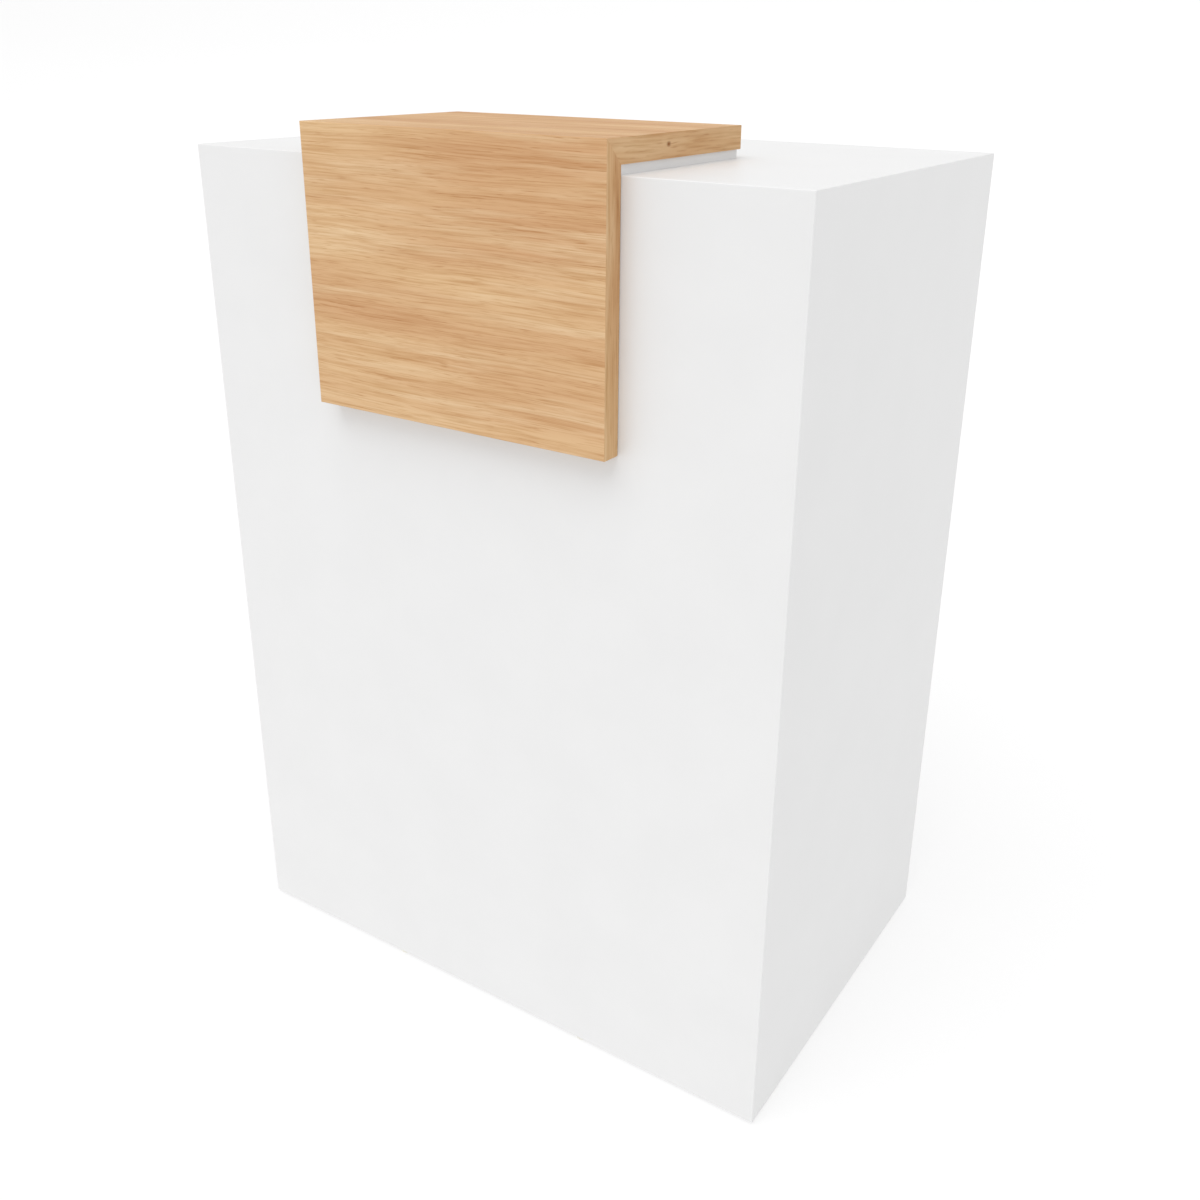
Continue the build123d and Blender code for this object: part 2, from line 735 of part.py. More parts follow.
cheek_top_z = hinge_z + 20
with BuildPart() as chute_cheeks:
    with BuildSketch(Plane.YZ.offset(cheek_x)):
        with BuildLine():
            Polyline(
                (rear_inner_y, chute_flange_z),
                (rear_inner_y, cheek_top_z),
                (rear_inner_y - 40, cheek_top_z),
                (chute_end_y, chute_end_z + cheek_height),
                (chute_end_y, chute_end_z - 12),
                close=True,
            )
        make_face()
    extrude(amount=sheet)
    with BuildSketch(rear_inner_plane):
        with Locations((cheek_x, chute_flange_z)):
            Rectangle(
                cheek_flange + sheet,
                cheek_top_z - chute_flange_z,
                align=(Align.MIN, Align.MIN),
            )
        with Locations(*cheek_screw_points):
            Circle(screw_radius + seat_fit, mode=Mode.SUBTRACT)
    extrude(amount=sheet)
    mirror(about=Plane.YZ)
chute_cheeks.part.label = "chute_cheeks"
export_step(chute_cheeks.part, "parts/chute_cheeks.step")

# Felt on the chute slows and quietens the books.
chute_felt = 3
felt_margin = 12
felt_start = 14
felt_end = chute_run - 6
with BuildPart() as chute_liner:
    with BuildSketch(Plane.YZ):
        with BuildLine():
            Polyline(
                (rear_inner_y - felt_start * slope_cos, chute_top_z - felt_start * slope_sin),
                (rear_inner_y - felt_end * slope_cos, chute_top_z - felt_end * slope_sin),
                (
                    rear_inner_y - felt_end * slope_cos - chute_felt * slope_sin,
                    chute_top_z - felt_end * slope_sin + chute_felt * slope_cos,
                ),
                (
                    rear_inner_y - felt_start * slope_cos - chute_felt * slope_sin,
                    chute_top_z - felt_start * slope_sin + chute_felt * slope_cos,
                ),
                close=True,
            )
        make_face()
    extrude(amount=cheek_x - felt_margin, both=True)
chute_liner.part.label = "chute_liner"
export_step(chute_liner.part, "parts/chute_liner.step")

with BuildPart() as inner_screws:
    for points, plate in (
        (bracket_screw_points, lug),
        (chute_screw_points, sheet),
        (cheek_screw_points, sheet),
    ):
        with BuildSketch(Plane.XZ.offset(-rear_inner_y + plate)):
            with Locations(*points):
                Circle(head_radius)
        extrude(amount=head_height)
        with BuildSketch(Plane.XZ.offset(-rear_inner_y + plate)):
            with Locations(*points):
                Circle(screw_radius)
        extrude(amount=-plate - inner_screw_bite)
inner_screws.part.label = "inner_screws"
export_step(inner_screws.part, "parts/inner_screws.step")

# ================================================================ book bin
# A plywood box on castors. Its white fascia closes the bay flush with the slot panel.
fascia_back_y = rear_y - fascia_board
fascia_top_z = bay_top_z - fascia_gap
fascia_half = inner_half - fascia_gap
bin_inner_y = kick_back_y + bin_back_gap
bin_middle_y = (bin_inner_y + fascia_back_y) / 2
bin_length = fascia_back_y - bin_inner_y
bin_floor_z = castor_height + bin_base_board
bin_top_z = lock_z - rim_drop
handle_z = bin_top_z - handle_drop
platform_top_z = bin_top_z - platform_drop
rim_thickness = 2
wall_top_z = bin_top_z - rim_thickness
handle_screw_points = [(x, handle_z) for x in (-handle_spacing / 2, handle_spacing / 2)]
fascia_screw_points = [
    (x, z) for x in (-bin_half + 60, bin_half - 60) for z in (bin_floor_z + 60, bin_top_z - 60)
]
fascia_screw_bite = 10

with BuildPart() as bin_fascia:
    with BuildSketch(rear_plane):
        with Locations((0, (fascia_top_z + fascia_floor_gap) / 2)):
            Rectangle(2 * fascia_half, fascia_top_z - fascia_floor_gap)
        with Locations((0, lock_z)):
            Circle(barrel_radius + seat_fit, mode=Mode.SUBTRACT)
        with Locations(*handle_screw_points):
            Circle(screw_radius + seat_fit, mode=Mode.SUBTRACT)
    extrude(amount=fascia_board)
    chamfer(bin_fascia.faces().sort_by(Axis.Y)[-1].outer_wire().edges(), length=0.6)
    with BuildSketch(Plane.XZ.offset(-fascia_back_y)):
        with Locations(*fascia_screw_points):
            Circle(screw_radius + seat_fit)
    extrude(amount=-fascia_screw_bite - seat_fit, mode=Mode.SUBTRACT)
bin_fascia.part.label = "bin_fascia"
export_step(bin_fascia.part, "parts/bin_fascia.step")

# Felt dots soften the fascia's meeting with the rail.
pad_gap = 0.4
with BuildPart() as fascia_pads:
    with BuildSketch(Plane.XZ.offset(-fascia_back_y)):
        with Locations((-fascia_half + 60, fascia_top_z - 15), (fascia_half - 60, fascia_top_z - 15)):
            Circle(6)
    extrude(amount=board - fascia_board - pad_gap)
fascia_pads.part.label = "fascia_pads"
export_step(fascia_pads.part, "parts/fascia_pads.step")

post_x = bin_half - bin_wall - post_inset
post_step = bin_length / 2 - bin_wall - post_inset
post_points = [(x, bin_middle_y + y) for x in (-post_x, post_x) for y in (-post_step, post_step)]
post_socket = 12
castor_x = bin_half - castor_inset
outer_castor_y = fascia_back_y - castor_inset - 10
inner_castor_y = bin_inner_y + castor_inset
castor_points = [(x, y) for x in (-castor_x, castor_x) for y in (inner_castor_y, outer_castor_y)]
castor_hole = castor_plate_size / 2 - 8
castor_screw_points = [
    (x + step_x, y + step_y)
    for x, y in castor_points
    for step_x in (-castor_hole, castor_hole)
    for step_y in (-castor_hole, castor_hole)
]
castor_screw_bite = 12

with BuildPart() as bin_base:
    with BuildSketch(Plane.XY.offset(castor_height)):
        with Locations((0, bin_middle_y)):
            Rectangle(2 * bin_half, bin_length)
    extrude(amount=bin_base_board)
    with BuildSketch(Plane.XY.offset(bin_floor_z)):
        with Locations(*post_points):
            Circle(post_radius + seat_fit)
    extrude(amount=-post_socket - seat_fit, mode=Mode.SUBTRACT)
    with BuildSketch(Plane.XY.offset(castor_height)):
        with Locations(*castor_screw_points):
            Circle(screw_radius + seat_fit)
    extrude(amount=castor_screw_bite + seat_fit, mode=Mode.SUBTRACT)
bin_base.part.label = "bin_base"
export_step(bin_base.part, "parts/bin_base.step")

for side_name, side in (("left", -1), ("right", 1)):
    with BuildPart() as bin_side:
        with BuildSketch(Plane.XY.offset(bin_floor_z)):
            with Locations((side * (bin_half - bin_wall / 2), bin_middle_y)):
                Rectangle(bin_wall, bin_length)
        extrude(amount=wall_top_z - bin_floor_z)
    bin_side.part.label = f"bin_{side_name}_panel"
    export_step(bin_side.part, f"parts/bin_{side_name}_panel.step")

with BuildPart() as bin_inner_panel:
    with BuildSketch(Plane.XY.offset(bin_floor_z)):
        with Locations((0, bin_inner_y + bin_wall / 2)):
            Rectangle(2 * (bin_half - bin_wall), bin_wall)
    extrude(amount=wall_top_z - bin_floor_z)
bin_inner_panel.part.label = "bin_inner_panel"
export_step(bin_inner_panel.part, "parts/bin_inner_panel.step")

bin_outer_y = fascia_back_y - bin_wall
with BuildPart() as bin_outer_panel:
    with BuildSketch(Plane.XZ.offset(-fascia_back_y)):
        with Locations((0, (bin_floor_z + wall_top_z) / 2)):
            Rectangle(2 * (bin_half - bin_wall), wall_top_z - bin_floor_z)
        with Locations(*handle_screw_points, *fascia_screw_points):
            Circle(screw_radius + seat_fit, mode=Mode.SUBTRACT)
    extrude(amount=bin_wall)
bin_outer_panel.part.label = "bin_outer_panel"
export_step(bin_outer_panel.part, "parts/bin_outer_panel.step")

# An aluminium angle caps the raw plywood round the mouth, with a lip down the inside.
rim_lip = 14
rim_opening_x = 2 * (bin_half - bin_wall - rim_thickness)
rim_opening_y = bin_length - 2 * (bin_wall + rim_thickness)
with BuildPart() as bin_rim:
    with BuildSketch(Plane.XY.offset(wall_top_z)):
        with Locations((0, bin_middle_y)):
            Rectangle(2 * bin_half, bin_length)
            Rectangle(rim_opening_x, rim_opening_y, mode=Mode.SUBTRACT)
    extrude(amount=rim_thickness)
    with BuildSketch(Plane.XY.offset(wall_top_z)):
        with Locations((0, bin_middle_y)):
            Rectangle(rim_opening_x + 2 * rim_thickness, rim_opening_y + 2 * rim_thickness)
            Rectangle(rim_opening_x, rim_opening_y, mode=Mode.SUBTRACT)
    extrude(amount=-rim_lip)
bin_rim.part.label = "bin_rim"
export_step(bin_rim.part, "parts/bin_rim.step")

# ---- pull handle: a bent bar with two posts, screwed from inside the bin
bar_radius = handle_bar / 2
bar_y = rear_y + handle_projection - bar_radius
handle_thread = 12
with BuildPart() as bin_handle:
    with BuildLine(Plane.XY.offset(handle_z)) as handle_path:
        FilletPolyline(
            (-handle_spacing / 2, rear_y),
            (-handle_spacing / 2, bar_y),
            (handle_spacing / 2, bar_y),
            (handle_spacing / 2, rear_y),
            radius=14,
        )
    with BuildSketch(Plane(origin=handle_path.line @ 0, z_dir=handle_path.line % 0)):
        Circle(bar_radius)
    sweep()
    with BuildSketch(rear_plane):
        with Locations(*handle_screw_points):
            Circle(screw_radius + seat_fit)
    extrude(amount=-handle_thread - seat_fit, mode=Mode.SUBTRACT)
bin_handle.part.label = "bin_handle"
export_step(bin_handle.part, "parts/bin_handle.step")

with BuildPart() as fascia_screws:
    with BuildSketch(Plane.XZ.offset(-bin_outer_y)):
        with Locations(*handle_screw_points, *fascia_screw_points):
            Circle(head_radius)
    extrude(amount=head_height)
    with BuildSketch(Plane.XZ.offset(-bin_outer_y)):
        with Locations(*handle_screw_points):
            Circle(screw_radius)
    extrude(amount=-bin_wall - fascia_board - handle_thread)
    with BuildSketch(Plane.XZ.offset(-bin_outer_y)):
        with Locations(*fascia_screw_points):
            Circle(screw_radius)
    extrude(amount=-bin_wall - fascia_screw_bite)
fascia_screws.part.label = "fascia_screws"
export_step(fascia_screws.part, "parts/fascia_screws.step")

# ---- sprung platform: four posts in the bin's corners, each inside a compression spring
platform_low_z = platform_top_z - platform_board_thickness
bush_flange_drop = 2
bush_sleeve = 3
spring_top_z = platform_low_z - bush_flange_drop
collar_gap = 0.4
collar_height = 8
collar_wall = 4
post_top_z = platform_top_z + collar_gap + collar_height + 3
with BuildPart() as guide_rods:
    with BuildSketch(Plane.XY.offset(bin_floor_z - post_socket)):
        with Locations(*post_points):
            Circle(post_radius)
    extrude(amount=post_top_z - bin_floor_z + post_socket)
    chamfer(guide_rods.edges().group_by(Axis.Z)[-1], length=1)
guide_rods.part.label = "guide_rods"
export_step(guide_rods.part, "parts/guide_rods.step")

with BuildPart() as rod_collars:
    with BuildSketch(Plane.XY.offset(platform_top_z + collar_gap)):
        with Locations(*post_points):
            Circle(post_radius + collar_wall)
            Circle(post_radius, mode=Mode.SUBTRACT)
    extrude(amount=collar_height)
    collar_rims = rod_collars.edges().group_by(Axis.Z)[-1]
    chamfer(collar_rims.filter_by(lambda edge: edge.radius > post_radius + 1), length=1)
rod_collars.part.label = "rod_collars"
export_step(rod_collars.part, "parts/rod_collars.step")

platform_half_x = bin_half - bin_wall - platform_gap
platform_half_y = bin_length / 2 - bin_wall - platform_gap
with BuildPart() as platform_board:
    with BuildSketch(Plane.XY.offset(platform_low_z)):
        with Locations((0, bin_middle_y)):
            RectangleRounded(2 * platform_half_x, 2 * platform_half_y, 4)
        with Locations(*post_points):
            Circle(post_radius + bush_sleeve + seat_fit, mode=Mode.SUBTRACT)
    extrude(amount=platform_board_thickness)
platform_board.part.label = "platform_board"
export_step(platform_board.part, "parts/platform_board.step")

with BuildPart() as platform_felt:
    with BuildSketch(Plane.XY.offset(platform_top_z)):
        with Locations((0, bin_middle_y)):
            RectangleRounded(2 * platform_half_x - 8, 2 * platform_half_y - 8, 4)
        with Locations(*post_points):
            Circle(post_radius + collar_wall + 2, mode=Mode.SUBTRACT)
    extrude(amount=felt)
platform_felt.part.label = "platform_felt"
export_step(platform_felt.part, "parts/platform_felt.step")

with BuildPart() as platform_bushes:
    with BuildSketch(Plane.XY.offset(platform_low_z)):
        with Locations(*post_points):
            Circle(post_radius + bush_sleeve)
    extrude(amount=platform_board_thickness)
    with BuildSketch(Plane.XY.offset(spring_top_z)):
        with Locations(*post_points):
            Circle(spring_radius + spring_wire)
    extrude(amount=bush_flange_drop)
    with BuildSketch(Plane.XY.offset(spring_top_z)):
        with Locations(*post_points):
            Circle(post_radius + running_fit)
    extrude(amount=platform_board_thickness + bush_flange_drop, mode=Mode.SUBTRACT)
platform_bushes.part.label = "platform_bushes"
export_step(platform_bushes.part, "parts/platform_bushes.step")

spring_low_z = bin_floor_z + spring_wire / 2 + seat_fit
spring_length = spring_top_z - seat_fit - spring_wire / 2 - spring_low_z
with BuildPart() as one_spring:
    with BuildLine() as coil:
        Helix(pitch=spring_length / spring_turns, height=spring_length, radius=spring_radius)
    with BuildSketch(Plane(origin=coil.line @ 0, z_dir=coil.line % 0)):
        Circle(spring_wire / 2)
    sweep()

with BuildPart() as platform_springs:
    with Locations(*[(x, y, spring_low_z) for x, y in post_points]):
        add(one_spring.part)
platform_springs.part.label = "platform_springs"
export_step(platform_springs.part, "parts/platform_springs.step")

# ================================================================ lock
# A cam lock in the fascia. Turned a quarter, its cam stands up behind the rail.
lock_flange = 2
cam_thickness = 2
cam_gap = 1
cam_front_y = rail_back_y - sheet - cam_gap
barrel_end_y = cam_front_y + 0.5
with BuildPart() as lock_barrel:
    with BuildSketch(Plane.XZ.offset(-rear_y - lock_flange)):
        with Locations((0, lock_z)):
            Circle(barrel_radius + 2.5)
    extrude(amount=lock_flange)
    chamfer(lock_barrel.edges().group_by(Axis.Y)[-1], length=0.8)
    with BuildSketch(rear_plane):
        with Locations((0, lock_z)):
            Circle(barrel_radius)
    extrude(amount=rear_y - barrel_end_y)
    with BuildSketch(Plane.XZ.offset(-rear_y - lock_flange)):
        with Locations((0, lock_z)):
            Circle(plug_radius + running_fit)
    extrude(amount=rear_y + lock_flange - barrel_end_y, mode=Mode.SUBTRACT)
lock_barrel.part.label = "lock_barrel"
export_step(lock_barrel.part, "parts/lock_barrel.step")

nut_thickness = 4
nut_across_corners = 25
with BuildPart() as lock_nut:
    with BuildSketch(Plane.XZ.offset(-fascia_back_y)):
        with Locations((0, lock_z)):
            RegularPolygon(nut_across_corners / 2, 6)
            Circle(barrel_radius + seat_fit, mode=Mode.SUBTRACT)
    extrude(amount=nut_thickness)
lock_nut.part.label = "lock_nut"
export_step(lock_nut.part, "parts/lock_nut.step")

tail_radius = 3.5
plug_recess = 0.5
keyway_depth = 8
with BuildPart() as lock_plug:
    with BuildSketch(Plane.XZ.offset(-rear_y - lock_flange + plug_recess)):
        with Locations((0, lock_z)):
            Circle(plug_radius)
    extrude(amount=rear_y + lock_flange - plug_recess - cam_front_y)
    with BuildSketch(Plane.XZ.offset(-cam_front_y)):
        with Locations((0, lock_z)):
            Circle(tail_radius)
    extrude(amount=cam_thickness + 1)
    with BuildSketch(Plane.XZ.offset(-rear_y - lock_flange + plug_recess)):
        with Locations((0, lock_z)):
            Rectangle(8, 1.6)
    extrude(amount=keyway_depth, mode=Mode.SUBTRACT)
lock_plug.part.label = "lock_plug"
export_step(lock_plug.part, "parts/lock_plug.step")

cam_half_width = 8
with BuildPart() as lock_cam:
    with BuildSketch(Plane.XZ.offset(-cam_front_y)):
        with Locations((0, lock_z)):
            Circle(cam_half_width)
        with Locations((-cam_length / 2, lock_z)):
            Rectangle(cam_length, 2 * cam_half_width)
        with Locations((0, lock_z)):
            Circle(tail_radius + seat_fit, mode=Mode.SUBTRACT)
    extrude(amount=cam_thickness)
lock_cam.part.label = "lock_cam"
export_step(lock_cam.part, "parts/lock_cam.step")

# ================================================================ castors
# Two fixed castors run at the inner end, two swivel castors under the fascia.
plate_thickness = 2.5
plate_low_z = castor_height - plate_thickness
leg_thickness = 2.5
leg_gap = 1.5
leg_x = wheel_width / 2 + leg_gap
leg_middle = leg_x + leg_thickness / 2
with BuildPart() as fixed_castor_forks:
    with BuildSketch(Plane.XY.offset(plate_low_z)):
        with Locations((-castor_x, inner_castor_y), (castor_x, inner_castor_y)):
            RectangleRounded(castor_plate_size, castor_plate_size, 4)
        with Locations(*[point for point in castor_screw_points if point[1] < bin_middle_y]):
            Circle(screw_radius + seat_fit, mode=Mode.SUBTRACT)
    extrude(amount=plate_thickness)
    for x in (-castor_x - leg_middle, -castor_x + leg_middle, castor_x - leg_middle, castor_x + leg_middle):
        with BuildSketch(Plane.YZ.offset(x - leg_thickness / 2)):
            with BuildLine():
                Polyline(
                    (inner_castor_y - 20, plate_low_z),
                    (inner_castor_y + 20, plate_low_z),
                    (inner_castor_y + 8, wheel_radius),
                    (inner_castor_y - 8, wheel_radius),
                    close=True,
                )
            make_face()
            with Locations((inner_castor_y, wheel_radius)):
                Circle(8)
        extrude(amount=leg_thickness)
    for x in (-castor_x, castor_x):
        with BuildSketch(Plane.YZ.offset(x)):
            with Locations((inner_castor_y, wheel_radius)):
                Circle(axle_radius)
        extrude(amount=leg_x + leg_thickness + 1.5, both=True)
fixed_castor_forks.part.label = "fixed_castor_forks"
export_step(fixed_castor_forks.part, "parts/fixed_castor_forks.step")

# A swivel castor's top plate carries the race and the rivet that the fork turns on.
race_radius = 21
race_height = 6.5
race_low_z = plate_low_z - race_height
swivel_gap = 0.4
crown_thickness = 4
crown_top_z = race_low_z - swivel_gap
crown_low_z = crown_top_z - crown_thickness
rivet_radius = 4
with BuildPart() as swivel_plates:
    with BuildSketch(Plane.XY.offset(plate_low_z)):
        with Locations((-castor_x, outer_castor_y), (castor_x, outer_castor_y)):
            RectangleRounded(castor_plate_size, castor_plate_size, 4)
        with Locations(*[point for point in castor_screw_points if point[1] > bin_middle_y]):
            Circle(screw_radius + seat_fit, mode=Mode.SUBTRACT)
    extrude(amount=plate_thickness)
    with BuildSketch(Plane.XY.offset(race_low_z)):
        with Locations((-castor_x, outer_castor_y), (castor_x, outer_castor_y)):
            Circle(race_radius)
    extrude(amount=race_height)
    with BuildSketch(Plane.XY.offset(crown_low_z - swivel_gap)):
        with Locations((-castor_x, outer_castor_y), (castor_x, outer_castor_y)):
            Circle(rivet_radius)
    extrude(amount=crown_thickness + 2 * swivel_gap)
    with BuildSketch(Plane.XY.offset(crown_low_z - swivel_gap - 2)):
        with Locations((-castor_x, outer_castor_y), (castor_x, outer_castor_y)):
            Circle(rivet_radius + 3)
    extrude(amount=2)
swivel_plates.part.label = "swivel_plates"
export_step(swivel_plates.part, "parts/swivel_plates.step")

swivel_wheel_y = outer_castor_y - castor_trail
for side_name, side in (("left", -1), ("right", 1)):
    with BuildPart() as castor_fork:
        with BuildSketch(Plane.XY.offset(crown_low_z)):
            with Locations((side * castor_x, outer_castor_y)):
                Circle(race_radius - 2)
                Circle(rivet_radius + running_fit, mode=Mode.SUBTRACT)
        extrude(amount=crown_thickness)
        for x in (side * castor_x - leg_x - leg_thickness, side * castor_x + leg_x):
            with BuildSketch(Plane.YZ.offset(x)):
                with BuildLine():
                    Polyline(
                        (outer_castor_y - 13, crown_top_z),
                        (outer_castor_y + 13, crown_top_z),
                        (outer_castor_y + 10, crown_low_z - 4),
                        (swivel_wheel_y + 7, wheel_radius - 4),
                        (swivel_wheel_y - 8, wheel_radius),
                        close=True,
                    )
                make_face()
                with Locations((swivel_wheel_y, wheel_radius)):
                    Circle(8)
            extrude(amount=leg_thickness)
        with BuildSketch(Plane.YZ.offset(side * castor_x)):
            with Locations((swivel_wheel_y, wheel_radius)):
                Circle(axle_radius)
        extrude(amount=leg_x + leg_thickness + 1.5, both=True)
    castor_fork.part.label = f"{side_name}_castor_fork"
    export_step(castor_fork.part, f"parts/{side_name}_castor_fork.step")

for end_name, wheel_y in (("inner", inner_castor_y), ("outer", swivel_wheel_y)):
    for side_name, side in (("left", -1), ("right", 1)):
        with BuildPart() as wheel:
            with BuildSketch(Plane.YZ.offset(side * castor_x)):
                with Locations((wheel_y, wheel_radius)):
                    Circle(wheel_radius)
            extrude(amount=wheel_width / 2, both=True)
            fillet(wheel.edges(), radius=3)
            for face_x in (side * castor_x - wheel_width / 2, side * castor_x + wheel_width / 2 - 2.5):
                with BuildSketch(Plane.YZ.offset(face_x)):
                    with Locations((wheel_y, wheel_radius)):
                        Circle(wheel_radius - 7)
                        Circle(axle_radius + 4, mode=Mode.SUBTRACT)
                extrude(amount=2.5, mode=Mode.SUBTRACT)
            with BuildSketch(Plane.YZ.offset(side * castor_x)):
                with Locations((wheel_y, wheel_radius)):
                    Circle(axle_radius + running_fit)
            extrude(amount=wheel_width / 2, both=True, mode=Mode.SUBTRACT)
        wheel.part.label = f"{end_name}_{side_name}_wheel"
        export_step(wheel.part, f"parts/{end_name}_{side_name}_wheel.step")

with BuildPart() as castor_screws:
    with BuildSketch(Plane.XY.offset(plate_low_z)):
        with Locations(*castor_screw_points):
            Circle(head_radius)
    extrude(amount=-head_height)
    with BuildSketch(Plane.XY.offset(plate_low_z)):
        with Locations(*castor_screw_points):
            Circle(screw_radius)
    extrude(amount=plate_thickness + castor_screw_bite)
castor_screws.part.label = "castor_screws"
export_step(castor_screws.part, "parts/castor_screws.step")
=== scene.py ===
from math import cos, pi, radians, sin

import bmesh
import bpy
from mathutils import Matrix, Vector, noise


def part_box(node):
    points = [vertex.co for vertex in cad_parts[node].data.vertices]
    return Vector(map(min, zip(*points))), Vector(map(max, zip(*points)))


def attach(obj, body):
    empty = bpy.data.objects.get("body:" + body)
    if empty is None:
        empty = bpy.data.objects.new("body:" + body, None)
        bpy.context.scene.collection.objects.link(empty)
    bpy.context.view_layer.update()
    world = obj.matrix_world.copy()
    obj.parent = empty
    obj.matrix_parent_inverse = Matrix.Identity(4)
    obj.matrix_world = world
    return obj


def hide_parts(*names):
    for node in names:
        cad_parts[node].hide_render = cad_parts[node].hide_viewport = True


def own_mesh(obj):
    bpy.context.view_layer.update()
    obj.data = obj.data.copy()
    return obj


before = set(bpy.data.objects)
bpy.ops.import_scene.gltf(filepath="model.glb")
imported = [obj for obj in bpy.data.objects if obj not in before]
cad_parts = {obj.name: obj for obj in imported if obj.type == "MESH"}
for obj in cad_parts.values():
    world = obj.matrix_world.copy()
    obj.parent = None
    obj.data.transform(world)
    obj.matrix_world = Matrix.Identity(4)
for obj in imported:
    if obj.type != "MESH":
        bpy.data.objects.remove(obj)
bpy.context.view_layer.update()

# ================================================================ cabinet boards
# The body is 18 mm particle board faced with white melamine paper, mitred and glued at its
# corners, so the plain faces show no seam. Its arrises are eased by hand with fine paper.
# The slot panel, the two rails and the fascia of the bin are cut from the same board.


def linear(code):
    """A colour written as an sRGB hex value, as the linear colour that a socket takes."""
    parts = [int(code[place:place + 2], 16) / 255 for place in (1, 3, 5)]
    return [p / 12.92 if p <= 0.04045 else ((p + 0.055) / 1.055) ** 2.4 for p in parts] + [1]


def add(tree, kind, inputs=None, **settings):
    """Adds one node with its settings. An input is a value, or the socket it is linked from."""
    made = tree.nodes.new(kind)
    for name, value in settings.items():
        setattr(made, name, value)
    for place, value in (inputs or {}).items():
        if isinstance(value, bpy.types.NodeSocket):
            tree.links.new(value, made.inputs[place])
        else:
            made.inputs[place].default_value = value
    return made


def start(name, colour, roughness, metallic=0.0, **sockets):
    """A new material with its even values on the shader, and its object coordinates."""
    material = bpy.data.materials.new(name)
    material.use_nodes = True
    tree = material.node_tree
    shader = tree.nodes["Principled BSDF"]
    shader.inputs["Base Color"].default_value = linear(colour)
    shader.inputs["Roughness"].default_value = roughness
    shader.inputs["Metallic"].default_value = metallic
    for socket, value in sockets.items():
        shader.inputs[socket.replace("_", " ")].default_value = value
    place = add(tree, "ShaderNodeTexCoord").outputs["Object"]
    return material, tree, shader, place


def dress(material, *nodes):
    """Gives CAD nodes their finish."""
    for name in nodes:
        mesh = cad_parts[name].data
        mesh.materials.clear()
        mesh.materials.append(material)


# Melamine paper pressed on a fine pearl plate: an even white with a soft silky
# sheen. The pearl is 0.4 mm in the real board and is drawn at 5 mm so that it shows at all;
# the board's chips print through as a very faint cloudiness about 90 mm across.
melamine, tree, shader, place = start("white_pearl_melamine", "#E1E1E1", 0.42)
cloud = add(tree, "ShaderNodeTexNoise", {"Vector": place, "Scale": 11.0, "Detail": 3.0})
shade = add(tree, "ShaderNodeValToRGB", {"Fac": cloud.outputs["Fac"]})
shade.color_ramp.elements[0].position = 0.3
shade.color_ramp.elements[0].color = linear("#E0E0E0")
shade.color_ramp.elements[1].position = 0.7
shade.color_ramp.elements[1].color = linear("#E2E2E2")
tree.links.new(shade.outputs["Color"], shader.inputs["Base Color"])
pearl = add(tree, "ShaderNodeTexNoise", {"Vector": place, "Scale": 200.0, "Detail": 2.0})
bump = add(tree, "ShaderNodeBump", {"Height": pearl.outputs["Fac"], "Strength": 0.25, "Distance": 0.0001})
tree.links.new(bump.outputs["Normal"], shader.inputs["Normal"])
gloss = add(tree, "ShaderNodeMapRange", {"Value": cloud.outputs["Fac"], "To Min": 0.38, "To Max": 0.46})
tree.links.new(gloss.outputs["Result"], shader.inputs["Roughness"])
dress(melamine, "front_panel", "left_side_panel", "right_side_panel", "top_panel")
dress(melamine, "slot_panel", "rear_rail", "base_rail", "bin_fascia")

# ================================================================ floor glides
# Six turned nylon buttons are nailed under the boards and hold them off the floor. Each is
# a low dome with a rounded rim, and its pin is driven up into the board.


def solids(node):
    """The lowest and highest corner of each separate solid of a CAD node, and its points."""
    shape = bmesh.new()
    shape.from_mesh(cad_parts[node].data)
    bmesh.ops.remove_doubles(shape, verts=shape.verts, dist=1e-6)
    waiting, found = set(shape.verts), []
    while waiting:
        front = [waiting.pop()]
        island = []
        while front:
            vert = front.pop()
            island.append(vert.co.copy())
            for edge in vert.link_edges:
                other = edge.other_vert(vert)
                if other in waiting:
                    waiting.remove(other)
                    front.append(other)
        low = Vector([min(co[axis] for co in island) for axis in range(3)])
        high = Vector([max(co[axis] for co in island) for axis in range(3)])
        found.append((low, high, island))
    shape.free()
    return sorted(found, key=lambda solid: tuple(solid[0]))


def settle(name, mesh, body, replaced, smooth_angle=35):
    """Makes a mesh a finished piece that rides on a body and stands for CAD nodes."""
    mesh.name = name
    mesh.polygons.foreach_set("use_smooth", [True] * len(mesh.polygons))
    mesh.set_sharp_from_angle(angle=radians(smooth_angle))
    piece = bpy.data.objects.new(name, mesh)
    bpy.context.scene.collection.objects.link(piece)
    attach(piece, body)
    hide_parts(replaced)
    return piece


def finish_mesh(name, shape, materials, body, replaced, smooth_angle=35):
    """Turns a bmesh into a finished piece."""
    bmesh.ops.recalc_face_normals(shape, faces=shape.faces)
    mesh = bpy.data.meshes.new(name)
    shape.to_mesh(mesh)
    shape.free()
    for material in materials:
        mesh.materials.append(material)
    return settle(name, mesh, body, replaced, smooth_angle)


